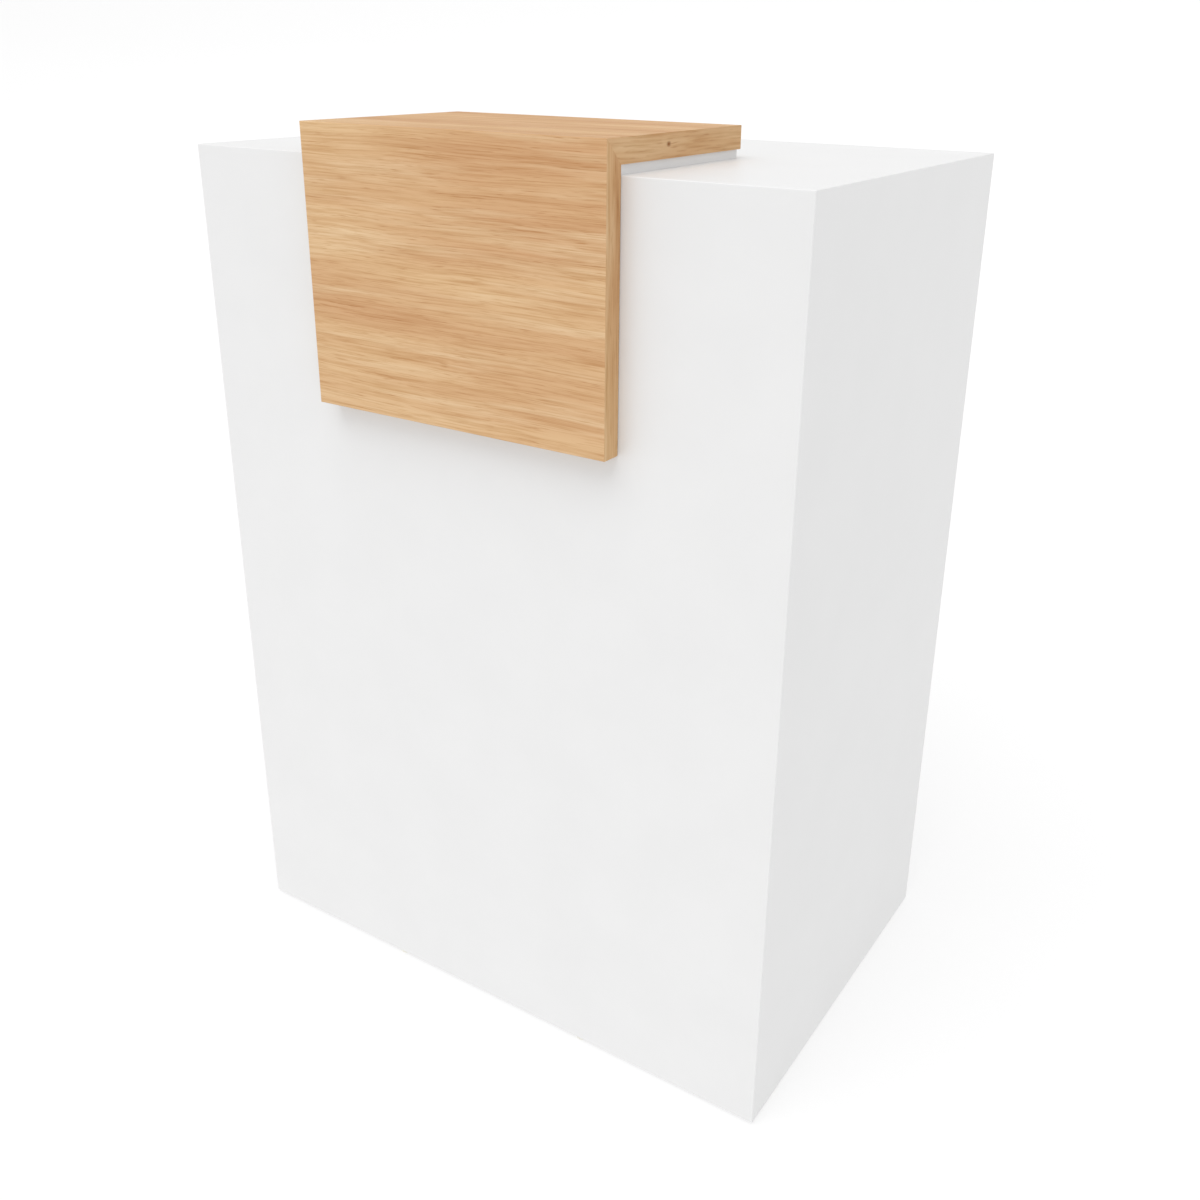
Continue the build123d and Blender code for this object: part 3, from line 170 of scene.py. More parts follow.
def turn(shape, profile, centre, axis, segments, material=0):
    """Turns a closed profile of (along, radius) points into a solid about an axis."""
    along = Vector(axis).normalized()
    across = along.orthogonal().normalized()
    third = along.cross(across)
    rings = []
    for step in range(segments):
        angle = 2 * pi * step / segments
        outward = across * cos(angle) + third * sin(angle)
        rings.append([shape.verts.new(centre + along * a + outward * r) for a, r in profile])
    for step in range(segments):
        ring, following = rings[step], rings[(step + 1) % segments]
        for place in range(len(profile)):
            after = (place + 1) % len(profile)
            face = shape.faces.new([ring[place], ring[after], following[after], following[place]])
            face.material_index = material
    bmesh.ops.remove_doubles(shape, verts=shape.verts, dist=1e-7)


# Moulded polyamide: milky, slightly translucent white with a soft moulded sheen and faint
# flow marks from the mould.
nylon, tree, shader, place = start("moulded_nylon", "#E6E4DA", 0.38, Subsurface_Weight=0.15)
shader.inputs["Subsurface Radius"].default_value = (0.002, 0.002, 0.0015)
flow = add(tree, "ShaderNodeTexNoise", {"Vector": place, "Scale": 260.0, "Detail": 3.0})
bump = add(tree, "ShaderNodeBump", {"Height": flow.outputs["Fac"], "Strength": 0.3, "Distance": 0.0001})
tree.links.new(bump.outputs["Normal"], shader.inputs["Normal"])

shape = bmesh.new()
board_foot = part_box("front_panel")[0].z
rim, pin = 0.0018, 0.0020
for low, high, island in solids("floor_glides"):
    radius = (high.x - low.x) / 2
    profile = [(0, 0), (0, radius - rim), (0.0003, radius - rim / 2), (0.0010, radius - 0.0002)]
    profile += [(rim, radius), (board_foot, radius), (board_foot, pin), (high.z, pin), (high.z, 0)]
    turn(shape, profile, Vector(((low.x + high.x) / 2, (low.y + high.y) / 2, 0)), (0, 0, 1), 28)
finish_mesh("turned_floor_glides", shape, [nylon], "cabinet", "floor_glides")

# ================================================================ oak cap
# Two 25 mm boards faced with quarter-cut oak veneer form a waterfall over the top and down
# the plain front. The grain runs across the cap on both faces. The long edges are lipped
# with darker solid oak whose grain follows the edge, and all of it is matt lacquered.


def oak(name, edge_grain, veneer, knot):
    """Lacquered oak, its veneer a shade of its own. Lippings, at the ends in x, have edge_grain."""
    material, tree, shader, place = start(name, "#D4AF86", 0.6, Specular_IOR_Level=0.1)
    parts = add(tree, "ShaderNodeSeparateXYZ", {"Vector": place}).outputs
    side = add(tree, "ShaderNodeNewGeometry").outputs["Normal"]
    side = add(tree, "ShaderNodeSeparateXYZ", {"Vector": side}).outputs["X"]
    side = add(tree, "ShaderNodeMath", {0: side}, operation="ABSOLUTE").outputs[0]
    lipping = add(tree, "ShaderNodeMath", {0: side, 1: 0.7}, operation="GREATER_THAN").outputs[0]
    across = "Z" if edge_grain == "Y" else "Y"
    turned = {"X": parts[edge_grain], "Y": parts[across], "Z": parts["X"]}
    turned = add(tree, "ShaderNodeCombineXYZ", turned).outputs[0]
    turned = add(tree, "ShaderNodeMapping", {"Vector": turned, "Scale": (1.0, 0.5, 0.5)}).outputs[0]
    grain = add(tree, "ShaderNodeMix", {0: lipping, 4: place, 5: turned}, data_type="VECTOR").outputs[1]

    # The fibres wander: a slow sideways drift of 2 mm over two hands' width bends every band.
    wander = {"Vector": grain, "Scale": (2.4, 7.0, 7.0), "Location": (0.4, 0.9, 0.3)}
    wander = add(tree, "ShaderNodeMapping", wander).outputs[0]
    wander = {"Vector": wander, "Scale": 1.0, "Detail": 2.0}
    wander = add(tree, "ShaderNodeTexNoise", wander).outputs["Color"]
    wander = add(tree, "ShaderNodeVectorMath", {0: wander, 1: (0.5, 0.5, 0.5)}, operation="SUBTRACT")
    drift = {0: wander.outputs[0], 1: (0.0, 0.013, 0.013), 2: grain}
    grain = add(tree, "ShaderNodeVectorMath", drift, operation="MULTIPLY_ADD").outputs[0]

    def streaks(along, across, detail, offset):
        """Noise whose grains are along by across metres."""
        scale = (1 / along, 1 / across, 1 / across)
        stretched = add(tree, "ShaderNodeMapping", {"Vector": grain, "Scale": scale, "Location": offset})
        made = {"Vector": stretched.outputs[0], "Scale": 1.0, "Detail": detail, "Roughness": 0.55}
        return add(tree, "ShaderNodeTexNoise", made).outputs["Fac"]

    # Growth bands 50 mm apart, pale early wood in streaks of 12 mm, late wood lines of 5 mm,
    # fibres of 1.4 mm and fine open pores. Fibres and pores are 0.3 mm in real oak and are
    # drawn coarser so that they show.
    bands = streaks(0.60, 0.052, 2.0, (4.1, 2.3, 7.7))
    pale = streaks(0.26, 0.012, 3.0, (6.2, 1.4, 2.8))
    lines = streaks(0.18, 0.0046, 3.0, (1.7, 9.2, 3.1))
    fibres = streaks(0.075, 0.0014, 2.0, (8.3, 5.1, 0.4))
    pores = streaks(0.026, 0.0011, 1.0, (2.9, 6.6, 5.5))

    colour = add(tree, "ShaderNodeValToRGB", {"Fac": bands})
    ramp = colour.color_ramp
    ramp.elements[0].position, ramp.elements[0].color = 0.34, linear("#CAA077")
    ramp.elements[1].position, ramp.elements[1].color = 0.66, linear("#DAB98F")
    colour = colour.outputs["Color"]

    def tinted(colour, strength, low, high, code):
        """The colour multiplied by a tint where strength goes from low to high."""
        amount = {"Value": strength, "From Min": low, "From Max": high}
        amount = add(tree, "ShaderNodeMapRange", amount).outputs["Result"]
        mixed = {0: amount, 6: colour, 7: linear(code)}
        return add(tree, "ShaderNodeMix", mixed, data_type="RGBA", blend_type="MULTIPLY").outputs[2]

    glow = {"Value": pale, "From Min": 0.48, "From Max": 0.95}
    glow = add(tree, "ShaderNodeMapRange", glow).outputs["Result"]
    glow = {0: glow, 6: colour, 7: linear("#E3C9A5")}
    colour = add(tree, "ShaderNodeMix", glow, data_type="RGBA").outputs[2]
    colour = tinted(colour, lines, 0.48, 0.92, "#E4D3BE")
    colour = tinted(colour, fibres, 0.45, 0.80, "#E6D8C4")
    colour = tinted(colour, pores, 0.60, 0.84, "#E0CDB6")
    shades = {0: lipping, 6: linear(veneer), 7: linear("#FCFAF4")}
    shades = add(tree, "ShaderNodeMix", shades, data_type="RGBA").outputs[2]
    colour = {0: 1.0, 6: colour, 7: shades}
    colour = add(tree, "ShaderNodeMix", colour, data_type="RGBA", blend_type="MULTIPLY").outputs[2]
    if knot is not None:
        away = add(tree, "ShaderNodeVectorMath", {0: place, 1: knot}, operation="SUBTRACT").outputs[0]
        away = add(tree, "ShaderNodeVectorMath", {0: away, 1: (170.0, 190.0, 300.0)}, operation="MULTIPLY")
        away = add(tree, "ShaderNodeVectorMath", {0: away.outputs[0]}, operation="LENGTH").outputs["Value"]
        eye = add(tree, "ShaderNodeMapRange", {"Value": away, "From Min": 1.0, "From Max": 0.2})
        colour = tinted(colour, eye.outputs["Result"], 0.0, 1.0, "#A88262")
    tree.links.new(colour, shader.inputs["Base Color"])
    depth = add(tree, "ShaderNodeMath", {0: fibres, 1: pores}, operation="ADD").outputs[0]
    bump = {"Height": depth, "Strength": 0.35, "Distance": 0.00012}
    bump = add(tree, "ShaderNodeBump", bump, invert=True)
    tree.links.new(bump.outputs["Normal"], shader.inputs["Normal"])
    gloss = add(tree, "ShaderNodeMapRange", {"Value": fibres, "To Min": 0.52, "To Max": 0.68})
    tree.links.new(gloss.outputs["Result"], shader.inputs["Roughness"])
    return material


shelf_low, shelf_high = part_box("shelf_board")
knot_place = (shelf_high.x, shelf_low.y + 0.42 * (shelf_high.y - shelf_low.y), shelf_low.z + 0.014)
dress(oak("lacquered_oak_shelf", "Y", "#F8F5F2", knot_place), "shelf_board")
dress(oak("lacquered_oak_apron", "Z", "#FFFFFF", None), "apron_board")

# Moulded polypropylene rings hold the apron off the front: matt black with a fine spark
# grain. A packer of the body's own white board lifts the shelf, set in from its edges.
black_plastic, tree, shader, place = start("black_polypropylene", "#1B1B1C", 0.55)
grit = add(tree, "ShaderNodeTexNoise", {"Vector": place, "Scale": 900.0, "Detail": 2.0})
bump = add(tree, "ShaderNodeBump", {"Height": grit.outputs["Fac"], "Strength": 0.4, "Distance": 0.0001})
tree.links.new(bump.outputs["Normal"], shader.inputs["Normal"])
dress(black_plastic, "cap_spacers")
dress(melamine, "cap_packer")

# ================================================================ inner framing
# Square spruce blocks are glued into the mitred corners, and low spruce rails on the sides
# steer the bin. Zinc-plated angles take the floor bolts, and a zinc plate takes the lock.


def spruce(name, along):
    """Planed spruce: pale, with straight growth lines 3 mm apart along one axis."""
    material, tree, shader, place = start(name, "#DCBE93", 0.6)
    scale = [330.0, 330.0, 330.0]
    scale[along] = 3.0
    place = add(tree, "ShaderNodeMapping", {"Vector": place, "Scale": scale}).outputs[0]
    lines = add(tree, "ShaderNodeTexNoise", {"Vector": place, "Scale": 1.0, "Detail": 3.0})
    colour = add(tree, "ShaderNodeValToRGB", {"Fac": lines.outputs["Fac"]})
    colour.color_ramp.elements[0].position, colour.color_ramp.elements[1].position = 0.36, 0.66
    colour.color_ramp.elements[0].color = linear("#C79F6C")
    colour.color_ramp.elements[1].color = linear("#E4CBA4")
    tree.links.new(colour.outputs["Color"], shader.inputs["Base Color"])
    bump = {"Height": lines.outputs["Fac"], "Strength": 0.3, "Distance": 0.0001}
    bump = add(tree, "ShaderNodeBump", bump)
    tree.links.new(bump.outputs["Normal"], shader.inputs["Normal"])
    return material


dress(spruce("planed_spruce_blocks", 2), "corner_cleats")
dress(spruce("planed_spruce_rails", 1), "guide_rails")

# Bright zinc plate on pressed steel: cool grey with a faint spangled, uneven lustre.
zinc, tree, shader, place = start("bright_zinc_plate", "#B9BCC1", 0.34, 1.0)
spangle = add(tree, "ShaderNodeTexVoronoi", {"Vector": place, "Scale": 190.0})
colour = add(tree, "ShaderNodeValToRGB", {"Fac": spangle.outputs["Distance"]})
colour.color_ramp.elements[0].color = linear("#A9ADB3")
colour.color_ramp.elements[1].color = linear("#C8CBCF")
tree.links.new(colour.outputs["Color"], shader.inputs["Base Color"])
smear = add(tree, "ShaderNodeTexNoise", {"Vector": place, "Scale": 60.0, "Detail": 4.0})
gloss = add(tree, "ShaderNodeMapRange", {"Value": smear.outputs["Fac"], "To Min": 0.24, "To Max": 0.44})
tree.links.new(gloss.outputs["Result"], shader.inputs["Roughness"])
dress(zinc, "anchor_brackets", "strike_plate")

# ================================================================ screws
# Cross-recessed pan-head screws hold the framing, the cap, the slot's fittings, the bin and
# the castors. They are cold-headed steel wire with rolled shanks, plated or stainless.
# One tree makes them all: a head domed by its sizes, cut by a cross, set at each point.


def tree_with(name, sizes):
    """A geometry tree with named inputs, each a name, a socket kind and a starting value."""
    tree = bpy.data.node_groups.new(name, "GeometryNodeTree")
    tree.interface.new_socket("Geometry", in_out="INPUT", socket_type="NodeSocketGeometry")
    for label, kind, value in sizes:
        socket = tree.interface.new_socket(label, in_out="INPUT", socket_type=kind)
        if value is not None:
            socket.default_value = value
    tree.interface.new_socket("Geometry", in_out="OUTPUT", socket_type="NodeSocketGeometry")
    return tree, add(tree, "NodeGroupInput").outputs


def grow(name, tree, points, facings, sizes):
    """Runs a geometry tree on points that carry a facing, and returns the plain mesh."""
    seeds = bpy.data.meshes.new(name + "_points")
    seeds.from_pydata([tuple(p) for p in points], [], [])
    seeds.attributes.new("facing", "FLOAT_VECTOR", "POINT")
    flat = [value for facing in facings for value in facing]
    seeds.attributes["facing"].data.foreach_set("vector", flat)
    holder = bpy.data.objects.new(name + "_points", seeds)
    bpy.context.scene.collection.objects.link(holder)
    modifier = holder.modifiers.new("grown", "NODES")
    modifier.node_group = tree
    names = {item.name: item.identifier for item in tree.interface.items_tree if item.in_out == "INPUT"}
    for label, value in sizes.items():
        modifier[names[label]] = value
    depsgraph = bpy.context.evaluated_depsgraph_get()
    mesh = bpy.data.meshes.new_from_object(holder.evaluated_get(depsgraph), depsgraph=depsgraph)
    holder.modifiers.clear()
    bpy.data.objects.remove(holder)
    return mesh


screw_tree, given = tree_with("pan_head_screw", [
    ("Head radius", "NodeSocketFloat", 0.004),
    ("Head height", "NodeSocketFloat", 0.002),
    ("Shank radius", "NodeSocketFloat", 0.002),
    ("Shank length", "NodeSocketFloat", 0.012),
    ("Cross width", "NodeSocketFloat", 0.0009),
    ("Seed", "NodeSocketInt", 4),
    ("Metal", "NodeSocketMaterial", None),
])
tree = screw_tree
head = add(tree, "GeometryNodeMeshCylinder", {
    "Vertices": 20, "Side Segments": 4, "Radius": given["Head radius"], "Depth": given["Head height"],
}, fill_type="NGON").outputs["Mesh"]
spot = add(tree, "GeometryNodeInputPosition").outputs[0]
rise = add(tree, "ShaderNodeSeparateXYZ", {0: spot}).outputs["Z"]
rise = add(tree, "ShaderNodeMath", {0: rise, 1: given["Head height"]}, operation="DIVIDE").outputs[0]
rise = add(tree, "ShaderNodeMath", {0: rise, 1: 0.5}, operation="ADD", use_clamp=True).outputs[0]
crown = add(tree, "ShaderNodeMath", {0: rise, 1: 4.0}, operation="POWER").outputs[0]
crown = add(tree, "ShaderNodeMath", {0: crown, 1: -0.42, 2: 1.0}, operation="MULTIPLY_ADD").outputs[0]
crown = add(tree, "ShaderNodeCombineXYZ", {0: crown, 1: crown, 2: 1.0}).outputs[0]
domed = add(tree, "ShaderNodeVectorMath", {0: spot, 1: crown}, operation="MULTIPLY").outputs[0]
half = add(tree, "ShaderNodeMath", {0: given["Head height"], 1: 0.5}, operation="MULTIPLY").outputs[0]
lift = add(tree, "ShaderNodeCombineXYZ", {2: half}).outputs[0]
head = {"Geometry": head, "Position": domed, "Offset": lift}
head = add(tree, "GeometryNodeSetPosition", head).outputs[0]
cutters = add(tree, "GeometryNodeJoinGeometry")
top = add(tree, "ShaderNodeCombineXYZ", {2: given["Head height"]}).outputs[0]
for wide, deep in (("Head radius", "Cross width"), ("Cross width", "Head radius")):
    size = {0: given[wide], 1: given[deep], 2: given["Head height"]}
    size = add(tree, "ShaderNodeCombineXYZ", size).outputs[0]
    bar = add(tree, "GeometryNodeMeshCube", {"Size": size}).outputs["Mesh"]
    bar = add(tree, "GeometryNodeTransform", {"Geometry": bar, "Translation": top}).outputs[0]
    tree.links.new(bar, cutters.inputs[0])
cut = add(tree, "GeometryNodeMeshBoolean", {"Mesh 1": head, "Mesh 2": cutters.outputs[0]},
          operation="DIFFERENCE", solver="EXACT").outputs["Mesh"]
shank = add(tree, "GeometryNodeMeshCylinder", {
    "Vertices": 12, "Radius": given["Shank radius"], "Depth": given["Shank length"],
}, fill_type="NGON").outputs["Mesh"]
sunk = add(tree, "ShaderNodeMath", {0: given["Shank length"], 1: -0.5}, operation="MULTIPLY").outputs[0]
sunk = add(tree, "ShaderNodeCombineXYZ", {2: sunk}).outputs[0]
shank = add(tree, "GeometryNodeTransform", {"Geometry": shank, "Translation": sunk}).outputs[0]
whole = add(tree, "GeometryNodeJoinGeometry")
tree.links.new(cut, whole.inputs[0])
tree.links.new(shank, whole.inputs[0])
facing = add(tree, "GeometryNodeInputNamedAttribute", {"Name": "facing"}, data_type="FLOAT_VECTOR")
stand = add(tree, "FunctionNodeAlignRotationToVector", {"Vector": facing.outputs[0]}, axis="Z")
twist = add(tree, "FunctionNodeRandomValue", {"Max": pi, "Seed": given["Seed"]}, data_type="FLOAT")
twist = add(tree, "ShaderNodeCombineXYZ", {2: twist.outputs[1]}).outputs[0]
twist = add(tree, "FunctionNodeEulerToRotation", {0: twist}).outputs[0]
stand = add(tree, "FunctionNodeRotateRotation", {0: stand.outputs[0], 1: twist}, rotation_space="LOCAL")
placed = add(tree, "GeometryNodeInstanceOnPoints", {
    "Points": given["Geometry"], "Instance": whole.outputs[0], "Rotation": stand.outputs[0],
}).outputs[0]
real = add(tree, "GeometryNodeRealizeInstances", {0: placed}).outputs[0]
real = add(tree, "GeometryNodeSetMaterial", {"Geometry": real, "Material": given["Metal"]}).outputs[0]
add(tree, "NodeGroupOutput", {0: real})


def screws(name, node, body, metal, cross=0.0009):
    """Replaces a CAD node of screws: each is measured from its solid and set where it is."""
    seats, facings, kinds = [], [], {}
    for low, high, island in solids(node):
        size = high - low
        axis = max(range(3), key=lambda a: size[a])
        others = [a for a in range(3) if a != axis]
        middle = (low + high) / 2
        spread = {}
        for end in (low[axis], high[axis]):
            near = [co for co in island if abs(co[axis] - end) < 0.0001]
            spread[end] = max(abs(co[others[0]] - middle[others[0]]) for co in near)
        head_end = max(spread, key=spread.get)
        tip_end = min(spread, key=spread.get)
        shank_radius = spread[tip_end]
        outward = 1 if head_end > tip_end else -1
        reach = shank_radius + 0.0003
        inner = [co[axis] for co in island if abs(co[others[0]] - middle[others[0]]) > reach]
        seat_level = min(inner) if outward > 0 else max(inner)
        seat, facing = middle.copy(), Vector((0, 0, 0))
        seat[axis], facing[axis] = seat_level, outward
        seats.append(seat)
        facings.append(facing)
        sizes = (size[others[0]] / 2, abs(head_end - seat_level), shank_radius, abs(seat_level - tip_end))
        kinds.setdefault(tuple(round(value, 5) for value in sizes), []).append(len(seats) - 1)
    parts = []
    for number, (sizes, members) in enumerate(sorted(kinds.items())):
        spots, ways = [seats[m] for m in members], [facings[m] for m in members]
        parts.append(grow(name, screw_tree, spots, ways, {
            "Head radius": sizes[0], "Head height": sizes[1], "Shank radius": sizes[2],
            "Shank length": sizes[3], "Cross width": cross, "Seed": 7 + number, "Metal": metal,
        }))
    joined = bmesh.new()
    for part in parts:
        joined.from_mesh(part)
    mesh = bpy.data.meshes.new(name)
    joined.to_mesh(mesh)
    joined.free()
    mesh.materials.append(metal)
    return settle(name, mesh, body, node)


screws("cap_wood_screws", "cap_screws", "cabinet", zinc, 0.0013)
screws("framing_screws", "frame_screws", "cabinet", zinc)
screws("slot_fitting_screws", "inner_screws", "cabinet", zinc)
screws("fascia_fixing_screws", "fascia_screws", "bin", zinc)
screws("castor_fixing_screws", "castor_screws", "bin", zinc)

# ================================================================ return slot
# A pressed stainless frame lines the cut-out, and its throat runs in to a slanted end with
# a rubber seal. The stainless flap hangs on a rod in nylon bushes and shuts by its weight.


def brushed(name, colour, stroke, roughness=0.3):
    """Stainless steel brushed along one axis: fine long strokes that stretch the highlights."""
    material, tree, shader, place = start(name, colour, roughness, 1.0)
    scale = [700.0, 700.0, 700.0]
    scale[stroke] = 9.0
    strokes = add(tree, "ShaderNodeMapping", {"Vector": place, "Scale": scale}).outputs[0]
    strokes = {"Vector": strokes, "Scale": 1.0, "Detail": 3.0}
    strokes = add(tree, "ShaderNodeTexNoise", strokes).outputs["Fac"]
    gloss = add(tree, "ShaderNodeMapRange", {
        "Value": strokes, "From Min": 0.3, "From Max": 0.7,
        "To Min": roughness - 0.09, "To Max": roughness + 0.12,
    })
    tree.links.new(gloss.outputs["Result"], shader.inputs["Roughness"])
    bump = add(tree, "ShaderNodeBump", {"Height": strokes, "Strength": 0.35, "Distance": 0.00005})
    tree.links.new(bump.outputs["Normal"], shader.inputs["Normal"])
    tone = add(tree, "ShaderNodeTexNoise", {"Vector": place, "Scale": 14.0, "Detail": 2.0}).outputs["Fac"]
    tint = add(tree, "ShaderNodeMix", {0: tone, 6: linear(colour), 7: linear("#C4C5C6")}, data_type="RGBA")
    tree.links.new(tint.outputs[2], shader.inputs["Base Color"])
    return material


stainless = brushed("brushed_stainless_steel", "#B7B8BA", 0)
dress(stainless, "slot_bezel", "slot_flap", "flap_rod")
screws("slot_bezel_screws", "bezel_screws", "cabinet", stainless)
dress(zinc, "flap_brackets")
dress(nylon, "flap_bushes")

# Oil-tempered spring steel: dark blue-grey, smooth from the drawing die, with dull patches.
spring_steel, tree, shader, place = start("tempered_spring_steel", "#5C5F66", 0.35, 1.0)
patches = add(tree, "ShaderNodeTexNoise", {"Vector": place, "Scale": 120.0, "Detail": 3.0}).outputs["Fac"]
gloss = add(tree, "ShaderNodeMapRange", {"Value": patches, "To Min": 0.22, "To Max": 0.5})
tree.links.new(gloss.outputs["Result"], shader.inputs["Roughness"])
dress(spring_steel, "rod_clips")

# Extruded black rubber: dull and soft-edged, with a fine bloom that greys it unevenly.
rubber, tree, shader, place = start("black_extruded_rubber", "#1C1C1D", 0.72)
bloom = add(tree, "ShaderNodeTexNoise", {"Vector": place, "Scale": 75.0, "Detail": 5.0}).outputs["Fac"]
colour = add(tree, "ShaderNodeValToRGB", {"Fac": bloom})
colour.color_ramp.elements[0].color = linear("#161617")
colour.color_ramp.elements[1].color = linear("#2B2B2C")
tree.links.new(colour.outputs["Color"], shader.inputs["Base Color"])
bump = add(tree, "ShaderNodeBump", {"Height": bloom, "Strength": 0.3, "Distance": 0.0002})
tree.links.new(bump.outputs["Normal"], shader.inputs["Normal"])
dress(rubber, "throat_seal", "flap_edge")

# Fine-textured powder coat over bent sheet: mid grey with a 1 mm orange peel.
powder, tree, shader, place = start("grey_powder_coat", "#9A9C9E", 0.5)
peel = add(tree, "ShaderNodeTexNoise", {"Vector": place, "Scale": 700.0, "Detail": 2.0}).outputs["Fac"]
bump = add(tree, "ShaderNodeBump", {"Height": peel, "Strength": 0.45, "Distance": 0.00012})
tree.links.new(bump.outputs["Normal"], shader.inputs["Normal"])
colour = add(tree, "ShaderNodeValToRGB", {"Fac": peel})
colour.color_ramp.elements[0].color = linear("#929496")
colour.color_ramp.elements[1].color = linear("#A2A4A6")
tree.links.new(colour.outputs["Color"], shader.inputs["Base Color"])
dress(powder, "chute_plate", "chute_cheeks")

# ---- felt: needled grey wool, 3 mm, glued down. It lines the chute and tops the platform.
# Short matted fibres in several greys lie every way over a cloudy base, and catch light at
# a glancing angle.
felt, tree, shader, place = start("grey_needled_felt", "#4C4F54", 0.95, Sheen_Weight=0.35,
                                  Sheen_Roughness=0.5)
matted = {"Vector": place, "Scale": 420.0, "Detail": 6.0, "Distortion": 1.2}
matted = add(tree, "ShaderNodeTexNoise", matted)
cloud = add(tree, "ShaderNodeTexNoise", {"Vector": place, "Scale": 32.0, "Detail": 3.0})
both = add(tree, "ShaderNodeMath", {0: matted.outputs["Fac"], 1: cloud.outputs["Fac"]}, operation="ADD")
both = add(tree, "ShaderNodeMath", {0: both.outputs[0], 1: 0.5}, operation="MULTIPLY").outputs[0]
colour = add(tree, "ShaderNodeValToRGB", {"Fac": both})
colour.color_ramp.elements[0].position, colour.color_ramp.elements[1].position = 0.30, 0.70
colour.color_ramp.elements[0].color = linear("#44474C")
colour.color_ramp.elements[1].color = linear("#62656A")
tree.links.new(colour.outputs["Color"], shader.inputs["Base Color"])
bump = add(tree, "ShaderNodeBump", {"Height": matted.outputs["Fac"], "Strength": 0.8, "Distance": 0.0006})
tree.links.new(bump.outputs["Normal"], shader.inputs["Normal"])


def felt_sheet(name, width, length, thick, holes, origin, along, up, body, replaced):
    """A felt sheet with soft cut edges: width in x, length along a slope, with round holes."""
    cell = 0.006
    wide, long = round(width / cell), round(length / cell)
    shape = bmesh.new()
    grid = {}
    for i in range(wide + 1):
        for j in range(long + 1):
            grid[i, j] = shape.verts.new(((i / wide - 0.5) * width, (j / long - 0.5) * length, 0))
    for i in range(wide):
        for j in range(long):
            corners = [grid[i, j], grid[i + 1, j], grid[i + 1, j + 1], grid[i, j + 1]]
            centre = sum((v.co for v in corners), Vector()) / 4
            if all((centre - Vector((x, y, 0))).length > radius for x, y, radius in holes):
                shape.faces.new(corners)
    for vert in [v for v in shape.verts if not v.link_faces]:
        shape.verts.remove(vert)
    for vert in shape.verts:
        for x, y, radius in holes:
            away = vert.co - Vector((x, y, 0))
            if vert.is_boundary and away.length < radius + 2 * cell:
                vert.co = Vector((x, y, 0)) + away.normalized() * radius
    extruded = bmesh.ops.extrude_face_region(shape, geom=shape.faces[:])["geom"]
    for vert in [v for v in extruded if isinstance(v, bmesh.types.BMVert)]:
        lump = noise.noise(Vector((vert.co.x * 60, vert.co.y * 60, 3.0)))
        vert.co.z = thick * (0.93 + 0.07 * lump)
    edge = [e for e in shape.edges if len(e.link_faces) == 2 and e.calc_face_angle(0) > 1.0]
    edge = [e for e in edge if (e.verts[0].co.z + e.verts[1].co.z) / 2 > thick / 2]
    bmesh.ops.bevel(shape, geom=edge, offset=0.0009, segments=2, profile=0.5, affect="EDGES")
    along, up = Vector(along).normalized(), Vector(up).normalized()
    turned = Matrix((along.cross(up), along, up)).transposed().to_4x4()
    bmesh.ops.transform(shape, matrix=Matrix.Translation(origin) @ turned, verts=shape.verts)
    return finish_mesh(name, shape, [felt], body, replaced, 60)


liner_low, liner_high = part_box("chute_liner")
liner_thick = 0.003
slope = radians(40)
liner_along = Vector((0, cos(slope), sin(slope)))
liner_up = Vector((0, -sin(slope), cos(slope)))
liner_length = (liner_high.y - liner_low.y - liner_thick * sin(slope)) / cos(slope)
liner_middle = Vector((0, (liner_low.y + liner_high.y) / 2, (liner_low.z + liner_high.z) / 2))
felt_sheet("felt_chute_liner", liner_high.x - liner_low.x, liner_length, liner_thick, [],
           liner_middle - liner_up * liner_thick / 2, liner_along, liner_up, "cabinet", "chute_liner")

# ================================================================ book bin
# A box of 12 mm birch plywood on an 18 mm base, glued and screwed to the white fascia. An
# aluminium angle caps its mouth, and a stainless bar handle is screwed on from inside.


